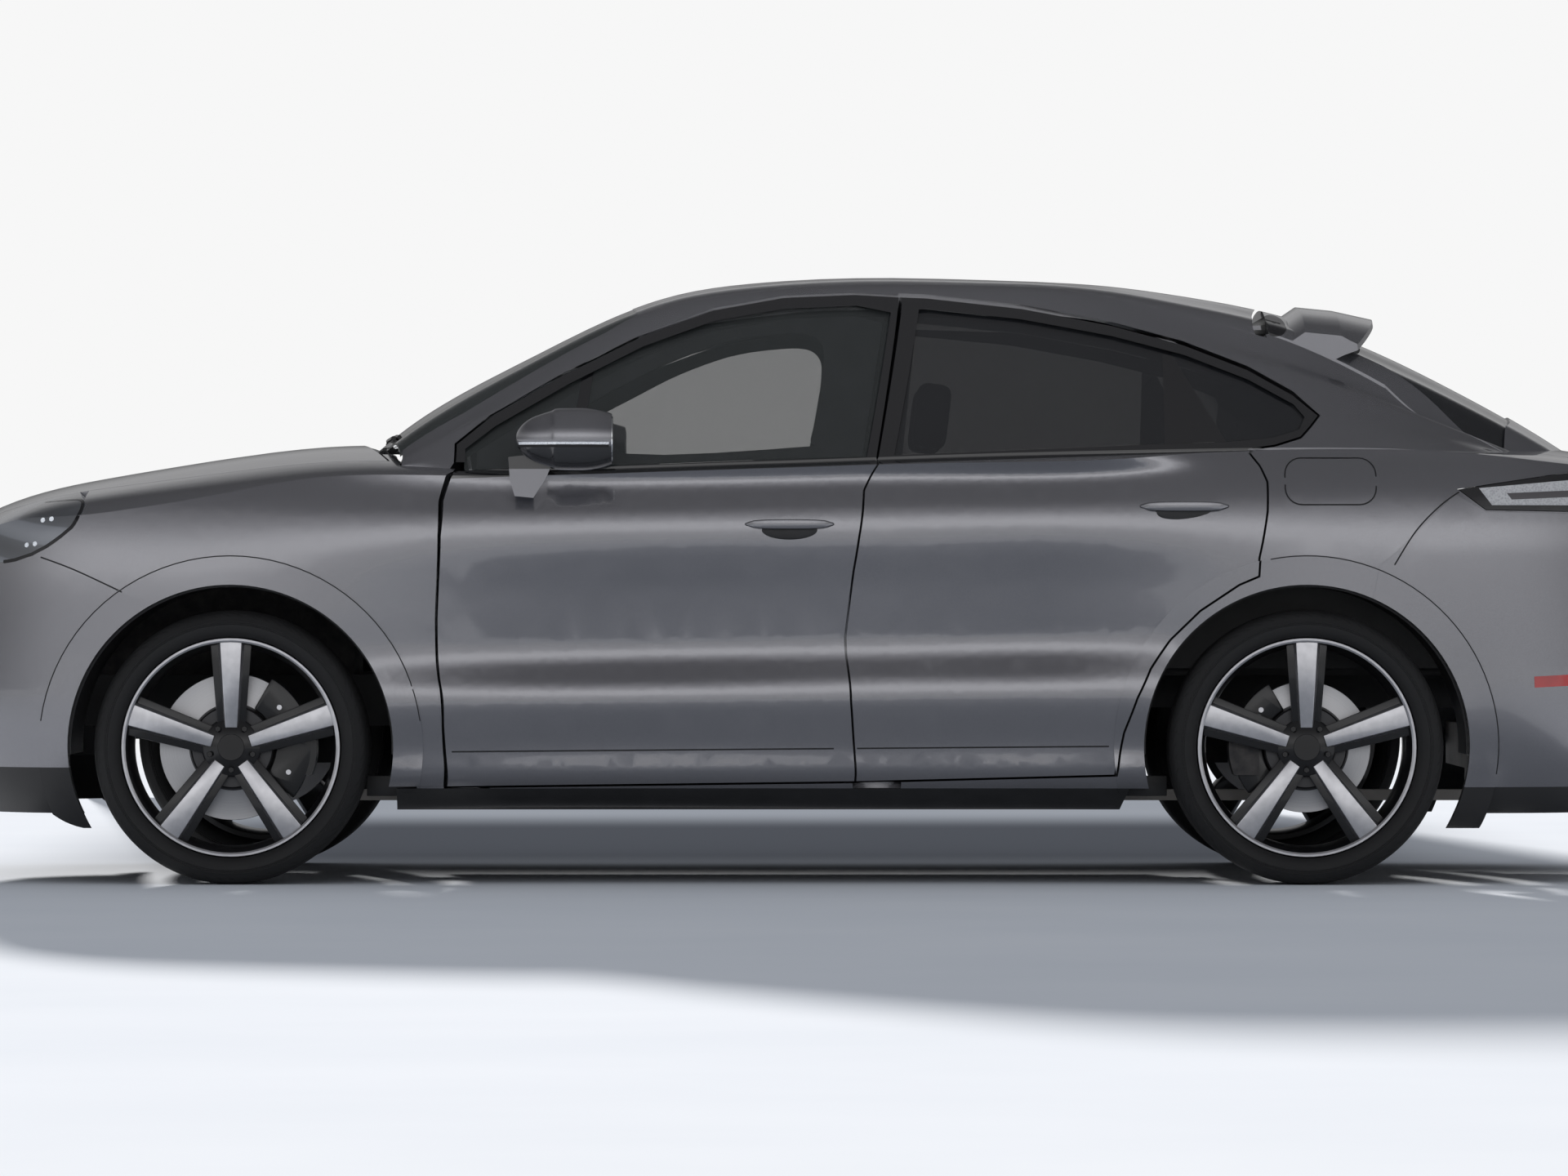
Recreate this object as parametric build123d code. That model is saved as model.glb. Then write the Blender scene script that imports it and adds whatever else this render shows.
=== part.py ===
from build123d import *
import os
from math import cos, hypot, sin

import numpy as np

# Coupe sport utility vehicle: separate panels, glass, running gear and cabin pieces.
# Millimetres, +Z up, X rearwards, Y to the right-hand side, origin on the floor under the middle of the overall
# length. The left side is built first and mirrored about the plane Y = 0.

os.makedirs("parts", exist_ok=True)

# ---------------------------------------------------------------- driving dimensions
LENGTH = 4930.0
FRONT_OVERHANG = 932.0
WHEELBASE = 2895.0
WIDTH = 1983.0  # over the wheel arch trims, without mirrors
ROOF_HEIGHT = 1660.0

NOSE_X = -LENGTH / 2
TAIL_X = LENGTH / 2
FRONT_AXLE = NOSE_X + FRONT_OVERHANG
REAR_AXLE = FRONT_AXLE + WHEELBASE

ARCH_TRIM_PROUD = 8.0
HALF_FENDER = WIDTH / 2 - ARCH_TRIM_PROUD  # widest painted panel, under the arch trims
HALF_DOOR = 957.0
HALF_BELT = 905.0
HALF_CANT = 640.0  # roof rail
KEEL_Z = 190.0  # plane that closes the outer volumes below; trimmed away later

PANEL = 45.0  # wings, bumpers and bonnet with their inner frames
WALL = 105.0  # doors, quarters and tailgate
PILLAR = 42.0  # window frames, pillars and roof
GLASS_SET_IN = 7.0
GLASS = 5.0
GAP = 6.0  # shut line between moving panels
SEAT_GAP = 0.3  # between pieces fixed to each other

HINGE_BEHIND = 75.0  # door hinge axis behind the foremost point of its shut line
HINGE_IN = 32.0  # and inboard of the widest skin
DOOR_LEAN = 0.3  # door edges lean rearwards by this much per unit outwards
FRAME_REACH = -632.0  # how far in the window frames reach, short of the roof panel
FRAME_ROOM = 6.0  # extra room over the rear door's window frame, which swings towards its lower rear end

TYRE_RADIUS = 369.0
TYRE_WIDTH_FRONT = 285.0
TYRE_WIDTH_REAR = 315.0
RIM_RADIUS = 297.0
TRACK_HALF_FRONT = 835.0
TRACK_HALF_REAR = 845.0


# ---------------------------------------------------------------- curves
def curve(points):
    """A natural cubic spline z(x) through a few points, straight beyond both ends."""
    xs = np.array([p[0] for p in points], float)
    zs = np.array([p[1] for p in points], float)
    n = len(xs)
    h = np.diff(xs)
    matrix = np.eye(n)
    right = np.zeros(n)
    for i in range(1, n - 1):
        matrix[i, i - 1 : i + 2] = h[i - 1], 2 * (h[i - 1] + h[i]), h[i]
        right[i] = 6 * ((zs[i + 1] - zs[i]) / h[i] - (zs[i] - zs[i - 1]) / h[i - 1])
    bend = np.linalg.solve(matrix, right)
    slope0 = (zs[1] - zs[0]) / h[0] - h[0] * bend[1] / 6
    slope1 = (zs[-1] - zs[-2]) / h[-1] + h[-1] * bend[-2] / 6

    def value(x):
        x = np.asarray(x, float)
        i = np.clip(np.searchsorted(xs, x) - 1, 0, n - 2)
        a, b = xs[i + 1] - x, x - xs[i]
        inside = (bend[i] * a**3 + bend[i + 1] * b**3) / (6 * h[i])
        inside += (zs[i] / h[i] - bend[i] * h[i] / 6) * a + (zs[i + 1] / h[i] - bend[i + 1] * h[i] / 6) * b
        inside = np.where(x < xs[0], zs[0] + slope0 * (x - xs[0]), inside)
        return np.where(x > xs[-1], zs[-1] + slope1 * (x - xs[-1]), inside)

    return value


def front(*points):
    """Points measured from the front axle."""
    return [(FRONT_AXLE + x, z) for x, z in points]


def rear(*points):
    """Points measured from the rear axle."""
    return [(REAR_AXLE + x, z) for x, z in points]


def smooth(t):
    """A soft step from 0 to 1."""
    t = np.clip(t, 0, 1)
    return t * t * (3 - 2 * t)


# The line of the body's middle, seen from the side: bonnet, then the deck under the rear glass.
BONNET_LINE = curve(front((-860, 898), (-760, 985), (-620, 1045), (-400, 1100), (-120, 1150), (160, 1183), (330, 1198),
                          (600, 1205)))
DECK_LINE = curve(rear((-400, 1120), (300, 1160), (700, 1185), (880, 1150), (1010, 1090)))
# The crest: top of the wings, the belt line under the side glass and the rear haunch.
CREST_LINE = curve(front((-860, 842), (-700, 925), (-400, 1030), (40, 1088), (240, 1112), (440, 1122), (640, 1118))
                   + front((1020, 1126), (1500, 1142), (2000, 1160))
                   + rear((-390, 1172), (0, 1178), (400, 1168), (760, 1120), (1010, 1060)))
ROOF_LINE = curve(front((150, 1090), (361, 1184), (500, 1282), (697, 1396), (895, 1494.6), (1073, 1576.8))
                  + front((1195, 1614), (1370, 1642), (1590, 1657), (1800, ROOF_HEIGHT), (2100, 1652), (2400, 1637))
                  + rear((-300, 1612), (-90, 1574), (206, 1479), (435, 1368), (620, 1269), (790, 1160), (900, 1085)))
CANT_LINE = curve(front((200, 1030), (460, 1141), (619, 1258), (813, 1375), (1006, 1480), (1166, 1545), (1400, 1590))
                  + front((1682, 1612), (2000, 1611), (2300, 1592))
                  + rear((-400, 1540), (-100, 1455), (200, 1345), (430, 1240), (620, 1150), (800, 1050)))


NOSE_BEND = 632.0  # length over which the sides turn in to the nose
TAIL_BEND = 753.0
NOSE_POWER = 2.5
TAIL_POWER = 3.0
FLARE_RADIUS = 518.0
ARCH_RADIUS = 438.0


def steps_along(points):
    """Spacing of one contour's points; every contour of a skin shares it, which keeps the skin light."""
    lengths = [hypot(b[0] - a[0], b[1] - a[1]) for a, b in zip(points, points[1:])]
    return [sum(lengths[:i]) / sum(lengths) for i in range(len(points))]


def widths(front_axle, door, rear_axle):
    """Half width at the front axle, along the doors and at the rear axle."""
    front_mid = (front_axle + 3 * door) / 4
    rear_mid = (rear_axle + door) / 2 + 6
    return curve(front((-500, front_axle), (0, front_axle), (560, front_mid), (800, door), (2000, door))
                 + rear((-600, door + 4), (-300, rear_mid), (0, rear_axle), (500, rear_axle), (800, rear_axle)))


# Rings round the body: height at the front axle and at the rear axle, half widths, set back at the nose and the tail.
RINGS = [
    (190, 190, (880, 880, 880), 150, 160),
    (262, 262, (945, 925, 945), 95, 105),
    (340, 350, (968, 950, 970), 40, 50),
    (440, 455, (980, 962, 983), 6, 10),
    (535, 565, (982, 960, 985), 0, 0),
    (585, 620, (982, 940, 985), 2, 0),
    (690, 720, (982, 937, 985), 16, 12),
    (800, 830, (980, 946, 984), 36, 30),
    (900, 930, (972, 957, 980), 56, 44),
    (1000, 1030, (952, 945, 962), 74, 58),
    (1090, 1110, (915, 918, 925), 90, 76),
    (1240, 1240, (820, 850, 850), 150, 140),
]


def ring_points(half_widths, nose_back, tail_back, inset):
    """One contour round the body, for y >= 0 from the nose to the tail."""
    wide = widths(*half_widths)
    nose_centre, tail_centre = NOSE_X + NOSE_BEND, TAIL_X - TAIL_BEND
    nose_reach, tail_reach = NOSE_BEND - nose_back - inset, TAIL_BEND - tail_back - inset
    angles = np.radians((0, 17, 33, 48, 62, 76, 90))
    points = []
    for angle in angles[::-1]:
        x = nose_centre - nose_reach * sin(angle) ** (2 / NOSE_POWER)
        points.append((x, (float(wide(x)) - inset) * max(cos(angle), 0) ** (2 / NOSE_POWER)))
    for share in (0.12, 0.24, 0.36, 0.48, 0.6, 0.72, 0.86):
        x = nose_centre + (tail_centre - nose_centre) * share
        points.append((x, float(wide(x)) - inset))
    for angle in angles:
        x = tail_centre + tail_reach * sin(angle) ** (2 / TAIL_POWER)
        points.append((x, (float(wide(x)) - inset) * max(cos(angle), 0) ** (2 / TAIL_POWER)))
    points[0] = (points[0][0], 0.0)
    points[-1] = (points[-1][0], 0.0)
    return points


def ring(points, heights, steps):
    """A closed contour round the body, of two splines that meet at the nose and the tail."""

    def height(x):
        share = smooth((x - FRONT_AXLE) / WHEELBASE)
        return float(heights[0] + (heights[1] - heights[0]) * share)

    left = Edge.make_spline([(x, -y, height(x)) for x, y in points], tangents=[(0, -1, 0), (0, 1, 0)], parameters=steps)
    right = Edge.make_spline([(x, y, height(x)) for x, y in points], tangents=[(0, 1, 0), (0, -1, 0)], parameters=steps)
    return Wire([left, right])


def side_volume(inset=0.0):
    """The body's sides, nose and tail, from below the sills to above the shoulders."""
    steps = steps_along(ring_points((980, 957, 980), 0, 0, 0))
    rings = []
    for low, high, half_widths, nose_back, tail_back in RINGS:
        if inset and low == KEEL_Z:
            low, high = low - 40, high - 40
        rings.append(ring(ring_points(half_widths, nose_back, tail_back, inset), (low, high), steps))
    return Solid.make_loft(rings)


def over_both(points):
    """A cross-section's points (y, z), given from the right side to the middle, carried over to the left side."""
    return points + [(-y, z) for y, z in points[-2::-1]]


def section(x, points, floor_z, steps):
    """A closed cross-section: a spline over the top, from the right side to the left, and a floor."""
    right = [(x, y, z) for y, z in points]
    left = [(x, -y, z) for y, z in points]
    top = Edge.make_spline([(x, y, z) for y, z in over_both(points)], parameters=steps)
    foot_left, foot_right = (x, left[0][1], floor_z), (x, right[0][1], floor_z)
    sides = Edge.make_line(foot_left, left[0]), Edge.make_line(right[0], foot_right)
    return Wire([top, sides[0], sides[1], Edge.make_line(foot_left, foot_right)])


def top_volume(inset=0.0):
    """Everything below the bonnet, the shoulders and the rear deck."""
    sections = []
    for x in np.linspace(NOSE_X - 60, TAIL_X + 60, 17):
        crest = float(CREST_LINE(x))
        blend = float(smooth((x - FRONT_AXLE - 450) / 350))
        bonnet = float(BONNET_LINE(min(x, FRONT_AXLE + 600)))
        middle = bonnet * (1 - blend) + float(DECK_LINE(max(x, REAR_AXLE - 400))) * blend
        rise = middle - crest
        wide = HALF_BELT
        points = [(wide + 170, crest - 150), (wide + 60, crest - 52), (wide, crest - 12), (wide - 70, crest + 0.12 * rise),
                  (wide * 0.75, crest + 0.45 * rise), (wide * 0.5, crest + 0.78 * rise), (wide * 0.25, middle - 0.04 * rise),
                  (0, middle)]
        sections.append((float(x), [(y, z - inset) for y, z in points]))
    steps = steps_along(over_both(sections[8][1]))
    return Solid.make_loft([section(x, points, 20.0, steps) for x, points in sections])


def lower_volume(inset=0.0):
    return side_volume(inset) & top_volume(inset)


DOME_FRONT = FRONT_AXLE + 200
DOME_REAR = REAR_AXLE + 880
DOME_FLOOR = 900.0
DOME_BELT = curve(front((200, 745), (330, 790), (460, 832), (633, 866), (900, 880), (1533, 884), (2400, 874))
                  + rear((-160, 852), (40, 815), (240, 772), (440, 735), (640, 700), (900, 655)))
DOME_CANT = curve(front((200, 690), (330, 770), (460, 808), (619, 768), (813, 722), (1006, 684), (1166, 656), (1533, 634))
                  + front((2033, 626), (2433, 614))
                  + rear((-160, 598), (200, 572), (430, 548), (620, 524), (880, 500)))


def dome_volume(inset=0.0):
    """The cabin above the belt, as one closed volume that reaches down into the lower body."""
    sections = []
    for x in np.linspace(DOME_FRONT, DOME_REAR, 19):
        belt_y, belt_z = float(DOME_BELT(x)) - inset, float(CREST_LINE(x))
        roof_z = float(ROOF_LINE(x)) - inset
        cant_z = min(max(float(CANT_LINE(x)), belt_z - 80), roof_z - 8) - inset
        cant_y = float(DOME_CANT(x)) - inset
        rise = roof_z - cant_z
        points = []
        for share, bulge in ((0.0, 0), (0.3, 9), (0.6, 12), (0.86, 8)):
            points.append((belt_y + (cant_y - belt_y) * share + bulge, belt_z + (cant_z - belt_z) * share))
        points += [(cant_y - 8, cant_z - 3), (cant_y * 0.93, cant_z + 0.34 * rise), (cant_y * 0.75, cant_z + 0.66 * rise)]
        points += [(cant_y * 0.5, cant_z + 0.87 * rise), (cant_y * 0.25, cant_z + 0.97 * rise), (0, roof_z)]
        sections.append((float(x), points))
    steps = steps_along(over_both(sections[8][1]))
    floor_z = DOME_FLOOR - (30 if inset else 0)
    return Solid.make_loft([section(x, points, floor_z, steps) for x, points in sections])


def mirrored(shape):
    return mirror(shape, Plane.XZ)


def signed_area(points):
    return sum(a[0] * b[1] - b[0] * a[1] for a, b in zip(points[-1:] + points[:-1], points)) / 2


ABOVE = 1700  # over every panel
SKIN_HEIGHTS = (0, 900, 1050, 1150, 1570, ABOVE)
SKIN_HALVES = (957, 957, 932, 895, 645, 600)


def side_prism(points, inner=-1.0, outer=-1300.0, lean=0.0):
    """A side-view outline (x, z) swept across the left half; lean moves it rearwards per unit outwards.

    The outline holds at the door's skin.
    """
    if signed_area(points) > 0:
        points = points[::-1]
    outline = []
    for x, z in points:
        beyond = -outer - float(np.interp(z, SKIN_HEIGHTS, SKIN_HALVES))
        outline.append((x + lean * beyond, outer, z))
    face = Face(Wire(Polyline(*outline, close=True).edges()))
    reach = inner - outer
    return extrude(face, amount=reach * hypot(1, lean), dir=(-lean, 1, 0))


def plan_prism(points, low=0.0, high=2000.0):
    """A top-view outline (x, y) swept upwards."""
    if signed_area(points) < 0:
        points = points[::-1]
    face = Face(Wire(Polyline(*[(x, y, low) for x, y in points], close=True).edges()))
    return extrude(face, amount=high - low, dir=(0, 0, 1))


def block(x0, x1, y0, y1, z0, z1):
    return Pos((x0 + x1) / 2, (y0 + y1) / 2, (z0 + z1) / 2) * Box(abs(x1 - x0), abs(y1 - y0), abs(z1 - z0))


def across(x, z, radius, y0, y1):
    """A cylinder along Y."""
    return Pos(x, (y0 + y1) / 2, z) * Rot(90, 0, 0) * Cylinder(radius, abs(y1 - y0))


def grown(points, amount):
    """A closed outline moved outwards by the amount, corner by corner."""
    count = len(points)
    sign = 1 if signed_area(points) > 0 else -1
    out = []
    for i in range(count):
        (ax, az), (bx, bz), (cx, cz) = points[i - 1], points[i], points[(i + 1) % count]
        n1 = np.array([bz - az, ax - bx]) * sign / hypot(bx - ax, bz - az)
        n2 = np.array([cz - bz, bx - cx]) * sign / hypot(cx - bx, cz - bz)
        n = (n1 + n2) / (1 + float(n1 @ n2))
        out.append((bx + amount * n[0], bz + amount * n[1]))
    return out


# ---------------------------------------------------------------- side-view outlines
FRONT_SHUT = front((590, 264), (583, 331), (572, 435), (563, 555), (559, 715), (563, 938), (572, 1033), (592, 1097),
                   (616, 1133))
MIDDLE_SHUT = front((1684, 278), (1678, 359), (1664, 491), (1658, 666), (1676, 842), (1687, 936), (1702, 1061),
                    (1741, 1149), (1800, 1565))
REAR_SHUT = rear((-154, 1162), (-130, 1127), (-114, 1083), (-117, 1005), (-130, 919), (-138, 879), (-141, 831),
                 (-192, 809), (-294, 739), (-372, 660), (-428, 582), (-466, 504), (-498, 410), (-511, 331), (-516, 296))
FRONT_FRAME_TOP = front((1800, 1590), (1682, 1597), (1490, 1589), (1297, 1554), (1105, 1482), (901, 1378), (708, 1262),
                        (618, 1186))
REAR_FRAME_TOP = front((1806, 1590), (1878, 1587), (2133, 1558)) + rear((-508, 1511), (-304, 1459), (-124, 1391), (3, 1322),
                       (70, 1266))
REAR_FRAME_FOOT = rear((40, 1236), (10, 1208), (-66, 1186), (-140, 1175))


def shifted(points, dx):
    return [(x + dx, z) for x, z in points]


FRONT_DOOR = FRONT_SHUT + FRONT_FRAME_TOP[::-1] + MIDDLE_SHUT[:-1][::-1]
REAR_DOOR = shifted(MIDDLE_SHUT, GAP) + REAR_FRAME_TOP + REAR_FRAME_FOOT + REAR_SHUT
FRONT_GLASS = front((640, 1116), (1015, 1127), (1395, 1142), (1716, 1151), (1775, 1548), (1682, 1567), (1490, 1559),
                    (1297, 1525), (1105, 1454), (911, 1352), (718, 1236), (640, 1174))
REAR_GLASS = front((1790, 1157), (2125, 1171)) + rear((-393, 1187), (-204, 1193), (-66, 1206), (10, 1228), (30, 1262),
                   (3, 1297), (-124, 1365), (-304, 1432), (-508, 1483)) + front((2133, 1529), (1878, 1558), (1852, 1556))

FRONT_HINGE = (min(x for x, z in FRONT_SHUT) + HINGE_BEHIND, -(HALF_DOOR + 3 - HINGE_IN))
REAR_HINGE = (min(x for x, z in MIDDLE_SHUT) + GAP + HINGE_BEHIND, -(HALF_DOOR + 3 - HINGE_IN))


def hinge_turn(hinge, shut, gap):
    """The round end of a door about its hinge axis, below the belt."""
    outline = [(0, shut[0][1] - 30)]
    for x, z in shut:
        outline.append((hypot(min(x - hinge[0], 0), HINGE_IN) + gap, z))
    outline[1] = (outline[1][0], outline[0][1])
    outline.append((outline[-1][0], outline[-1][1] + 12))
    outline.append((0, outline[-1][1]))
    face = Face(Wire(Polyline(*[(r, 0, z) for r, z in outline], close=True).edges()))
    return Pos(hinge[0], hinge[1], 0) * revolve(face, Axis.Z)


def beyond_hinge(hinge, shut, top):
    """The part of a door's leading end that its hinge turn doesn't hold."""
    return block(hinge[0] - 300, hinge[0], -1300, -500, 0, top) - hinge_turn(hinge, shut, 0)


# ---------------------------------------------------------------- outer skins, then every panel cut from them
def flared(volume):
    """The lower body with its wheel arch trims, which stand proud of the skin round each opening."""
    proud = lower_volume(-ARCH_TRIM_PROUD)
    for axle in (FRONT_AXLE, REAR_AXLE):
        for side in (-1, 1):
            drum = across(axle, TYRE_RADIUS, FLARE_RADIUS, side * 880, side * 1100)
            volume = volume + (proud & drum)
    return volume


LOWER = flared(lower_volume())
LOWER_PANEL = lower_volume(PANEL)
LOWER_WALL = lower_volume(WALL)
LOWER_JAMB = lower_volume(WALL + GAP)
LOWER_INNER = lower_volume(WALL + GAP + 40)
FENDER_SEAT = lower_volume(PANEL + SEAT_GAP)
DOME = dome_volume()
DOME_PILLAR = dome_volume(PILLAR)
DOME_JAMB = dome_volume(PILLAR + GAP)
DOME_INNER = dome_volume(PILLAR + GAP + 35)

FRONT_ARCH = across(FRONT_AXLE, TYRE_RADIUS, ARCH_RADIUS, -1300, 1300)
REAR_ARCH = across(REAR_AXLE, TYRE_RADIUS, ARCH_RADIUS, -1300, 1300)


def two_sided(points):
    """A top-view outline given from the front middle to the rear middle for y < 0, closed over both halves."""
    return points + [(x, -y) for x, y in points[::-1] if y]


def ahead(points):
    return [(FRONT_AXLE + x, y) for x, y in points]


def behind(points):
    return [(REAR_AXLE + x, y) for x, y in points]


HOOD_PLAN = two_sided(ahead([(-802, 0), (-787, -300), (-727, -520), (-577, -650), (-267, -705), (133, -735),
                             (413, -752), (360, -450), (325, -200), (318, 0)]))
HOOD_HINGE = (FRONT_AXLE + 420, 1150.0)
HINGE_PIN = 5.0
HINGE_EYE = 12.0
PIN_CLEARANCE = 0.08
WINDSCREEN_PLAN = two_sided(ahead([(352, 0), (364, -250), (404, -520), (448, -760), (619, -738), (813, -690),
                                   (1006, -650), (1085, -612), (1070, -300), (1066, 0)]))
ROOF_PLAN = two_sided(ahead([(1070, 0), (1074, -300), (1089, -614), (1533, -592), (2133, -586), (2808, -560), (2808, 0)]))
TAILGATE_PLAN = two_sided(behind([(-81, 0), (-81, -545), (238, -542), (638, -634), (788, -680), (1160, -705), (1160, 0)]))
REAR_GLASS_PLAN = two_sided(behind([(30, 0), (24, -486), (238, -492), (560, -560), (600, -300), (612, 0)]))
TAILGATE_HINGE = (REAR_AXLE - 60, 1520.0)
TAILGATE_FLOOR = 705.0


def save(shape, name):
    shape.label = name
    export_step(shape, os.path.join("parts", name + ".step"))


def save_pair(shape, name):
    save(shape, name + "_left")
    save(mirrored(shape), name + "_right")


def both(*shapes):
    solids = []
    for shape in shapes:
        solids += list(shape.solids()) + list(mirrored(shape).solids())
    return Compound(children=solids)


def drums(hinge, radius):
    return across(hinge[0], hinge[1], radius, -1300, 1300)


# ---------------------------------------------------------------- doors and their glass
def door(outline, glass, hinge, shut):
    low = (LOWER & side_prism(outline, inner=-(HALF_DOOR - WALL), lean=DOOR_LEAN)) - LOWER_WALL
    frame = (DOME & side_prism(outline, inner=FRAME_REACH, lean=DOOR_LEAN)) - DOME_PILLAR
    frame -= block(-1500, 1500, -1000, 0, 800, 1065)
    whole = low + frame
    whole -= beyond_hinge(hinge, shut, shut[-1][1] + 5)
    return whole - side_prism(glass, inner=-400, lean=DOOR_LEAN)


def window(glass):
    pane = dome_volume(GLASS_SET_IN) & side_prism(grown(glass, -SEAT_GAP), inner=-400, lean=DOOR_LEAN)
    return pane - dome_volume(GLASS_SET_IN + GLASS)


MIDDLE_TURN = [(x + GAP, z) for x, z in MIDDLE_SHUT if z < 1160]


def doors():
    save_pair(door(FRONT_DOOR, FRONT_GLASS, FRONT_HINGE, FRONT_SHUT), "door_front")
    save_pair(window(FRONT_GLASS), "window_front")
    rear_door = door(REAR_DOOR, REAR_GLASS, REAR_HINGE, MIDDLE_TURN) - REAR_ARCH
    save_pair(rear_door, "door_rear")
    save_pair(window(REAR_GLASS), "window_rear")


# ---------------------------------------------------------------- body sides
FRONT_APERTURE = front((700, 335), (690, 700), (700, 1000), (650, 1120), (640, 1190), (708, 1250), (800, 1302),
                       (930, 1362), (1105, 1432),
                       (1297, 1490), (1490, 1524), (1650, 1532), (1590, 1100), (1560, 850), (1560, 335))
REAR_APERTURE = front((1780, 335), (1780, 900), (1850, 1520), (2133, 1493)) + rear((-508, 1447), (-304, 1396), (-160, 1340),
                      (-170, 1100), (-200, 880), (-330, 770), (-430, 660), (-510, 520), (-560, 335))
BUMPER_SHUT = front((-209, 754), (-281, 783), (-537, 888))
LAMP_REAR = front((-499, 908), (-465, 931), (-428, 961), (-401, 998), (-394, 1022), (-401, 1035))
LAMP = front((-870, 850), (-616, 868), (-583, 874), (-536, 889)) + LAMP_REAR + front((-428, 1060), (-560, 1060), (-870, 960))
FENDER = (BUMPER_SHUT + LAMP_REAR + front((-401, 1300), (600, 1300), (640, 1160)) +
          [(x - GAP, z) for x, z in FRONT_SHUT[::-1]] + front((300, 262), (0, 262)))
SILL_FLOOR = 258.0
QUARTER = [(FRONT_AXLE + 500, SILL_FLOOR), (FRONT_AXLE + 500, 1140), (FRONT_AXLE + 620, 1190), (TAIL_X + 50, 1300),
           (TAIL_X + 50, SILL_FLOOR)]
REAR_BUMPER = rear((40, 100), (195, 859), (243, 897), (400, 1052), (482, 1003), (699, 999), (1160, 999), (1160, 100))
TAIL_LAMP = rear((411, 1063), (482, 1009), (699, 1005), (1160, 1005), (1160, 1100), (938, 1112), (699, 1107))


PILLAR_FOOT = 1085.0  # where the windscreen pillar stands on the wing
PILLAR_CORNER = front((555, 1100), (555, 1195), (680, 1305), (770, 1305), (770, 1100))  # thinner, for the swinging frame


def body_side():
    low = (LOWER & side_prism(QUARTER, inner=-600)) - LOWER_INNER
    low -= block(FRONT_AXLE + 400, REAR_AXLE + 130, -745, -500, 0, 1300)
    low -= (side_prism(grown(FENDER, SEAT_GAP), inner=-600) & block(-1300, -880, -1300, -600, 0, 1300)) - FENDER_SEAT
    low -= plan_prism(grown(TAILGATE_PLAN, GAP))
    low -= side_prism(grown(REAR_BUMPER, SEAT_GAP), inner=-1, outer=-1300)
    low -= side_prism(grown(TAIL_LAMP, 2), inner=-1, outer=-1300)
    top = DOME & block(FRONT_AXLE + 455, TAIL_X - 180, -1300, -300, PILLAR_FOOT, ABOVE)
    top -= side_prism(grown(TAIL_LAMP, SEAT_GAP), inner=-1, outer=-1300)
    top -= side_prism(PILLAR_CORNER, inner=-400) & DOME_JAMB
    for outline, clearance in ((WINDSCREEN_PLAN, SEAT_GAP), (ROOF_PLAN, SEAT_GAP), (TAILGATE_PLAN, GAP)):
        top -= plan_prism(grown(outline, clearance))
    top -= DOME_INNER
    rear_room = [(x, z + FRAME_ROOM if z > 1300 else z) for x, z in REAR_DOOR]
    for outline, hinge, shut, aperture in ((FRONT_DOOR, FRONT_HINGE, FRONT_SHUT, FRONT_APERTURE),
                                           (rear_room, REAR_HINGE, MIDDLE_TURN, REAR_APERTURE)):
        recess = side_prism(grown(outline, GAP), inner=-400, lean=DOOR_LEAN)
        low = low - ((recess & block(-1500, 1500, -1300, -700, 100, 1300)) - LOWER_JAMB)
        top = top - (recess - DOME_JAMB)
        hole = side_prism(aperture, inner=-400)
        low = low - hole
        top = top - hole
        low = low - hinge_turn(hinge, shut, GAP)
    low -= REAR_ARCH
    return low + top


# ---------------------------------------------------------------- front end
FRONT_BUMPER = front((-1000, 100), (-60, 100), (-209, 754), (-281, 783), (-537, 888), (-583, 874), (-616, 868), (-870, 850),
                     (-1000, 850))
NOSE_CAP = front((-1000, 840), (-870, 850), (-870, 960), (-700, 1060), (-700, 1100), (-1000, 1100))
HEADLAMP_INNER = -455.0


def hinge_eye(hinge, y0, y1, reach):
    """An arm ahead of a lid's hinge axis that ends in an eye round the pin."""
    x, z = hinge
    arm = block(x - reach, x, y0, y1, z - HINGE_EYE, z) + across(x, z, HINGE_EYE, y0, y1)
    return arm - across(x, z, HINGE_PIN + PIN_CLEARANCE, y0 - 5, y1 + 5)


def hood_hinge_plates():
    """Plates on the bulkhead with the pins that the hood turns on."""
    x, z = HOOD_HINGE
    outline = front((470, 1000), (500, 1000), (500, 1045)) + [(x + 14, z), (x, z + HINGE_EYE), (x - 14, z), (x - 10, z - 20)]
    outline += front((470, 1030))
    return both(side_prism(outline, inner=-580, outer=-588) + across(x, z, HINGE_PIN, -584, -556))


def hood():
    lid = (LOWER & plan_prism(HOOD_PLAN, 800, 1300)) - LOWER_PANEL
    eye = hinge_eye(HOOD_HINGE, -568, -560, 50)
    return lid + eye + mirrored(eye)


def fender():
    wing = (LOWER & side_prism(FENDER, inner=-600)) - LOWER_PANEL
    wing -= plan_prism(grown(HOOD_PLAN, GAP))
    wing -= plan_prism(grown(WINDSCREEN_PLAN, GAP))
    wing -= hinge_turn(FRONT_HINGE, FRONT_SHUT, GAP)
    foot = [(FRONT_AXLE + x, -float(DOME_BELT(FRONT_AXLE + x)) - 2) for x in (449, 500, 550, 600, 660)]
    wing -= plan_prism(foot + front((660, -500), (449, -500)), PILLAR_FOOT - SEAT_GAP, 1400)
    wing -= FRONT_ARCH
    return max(wing.solids(), key=lambda piece: piece.volume)


def headlamps():
    lamp = (LOWER & side_prism(LAMP, inner=HEADLAMP_INNER)) - lower_volume(80)
    return both(lamp - plan_prism(grown(HOOD_PLAN, 4)))


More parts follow.
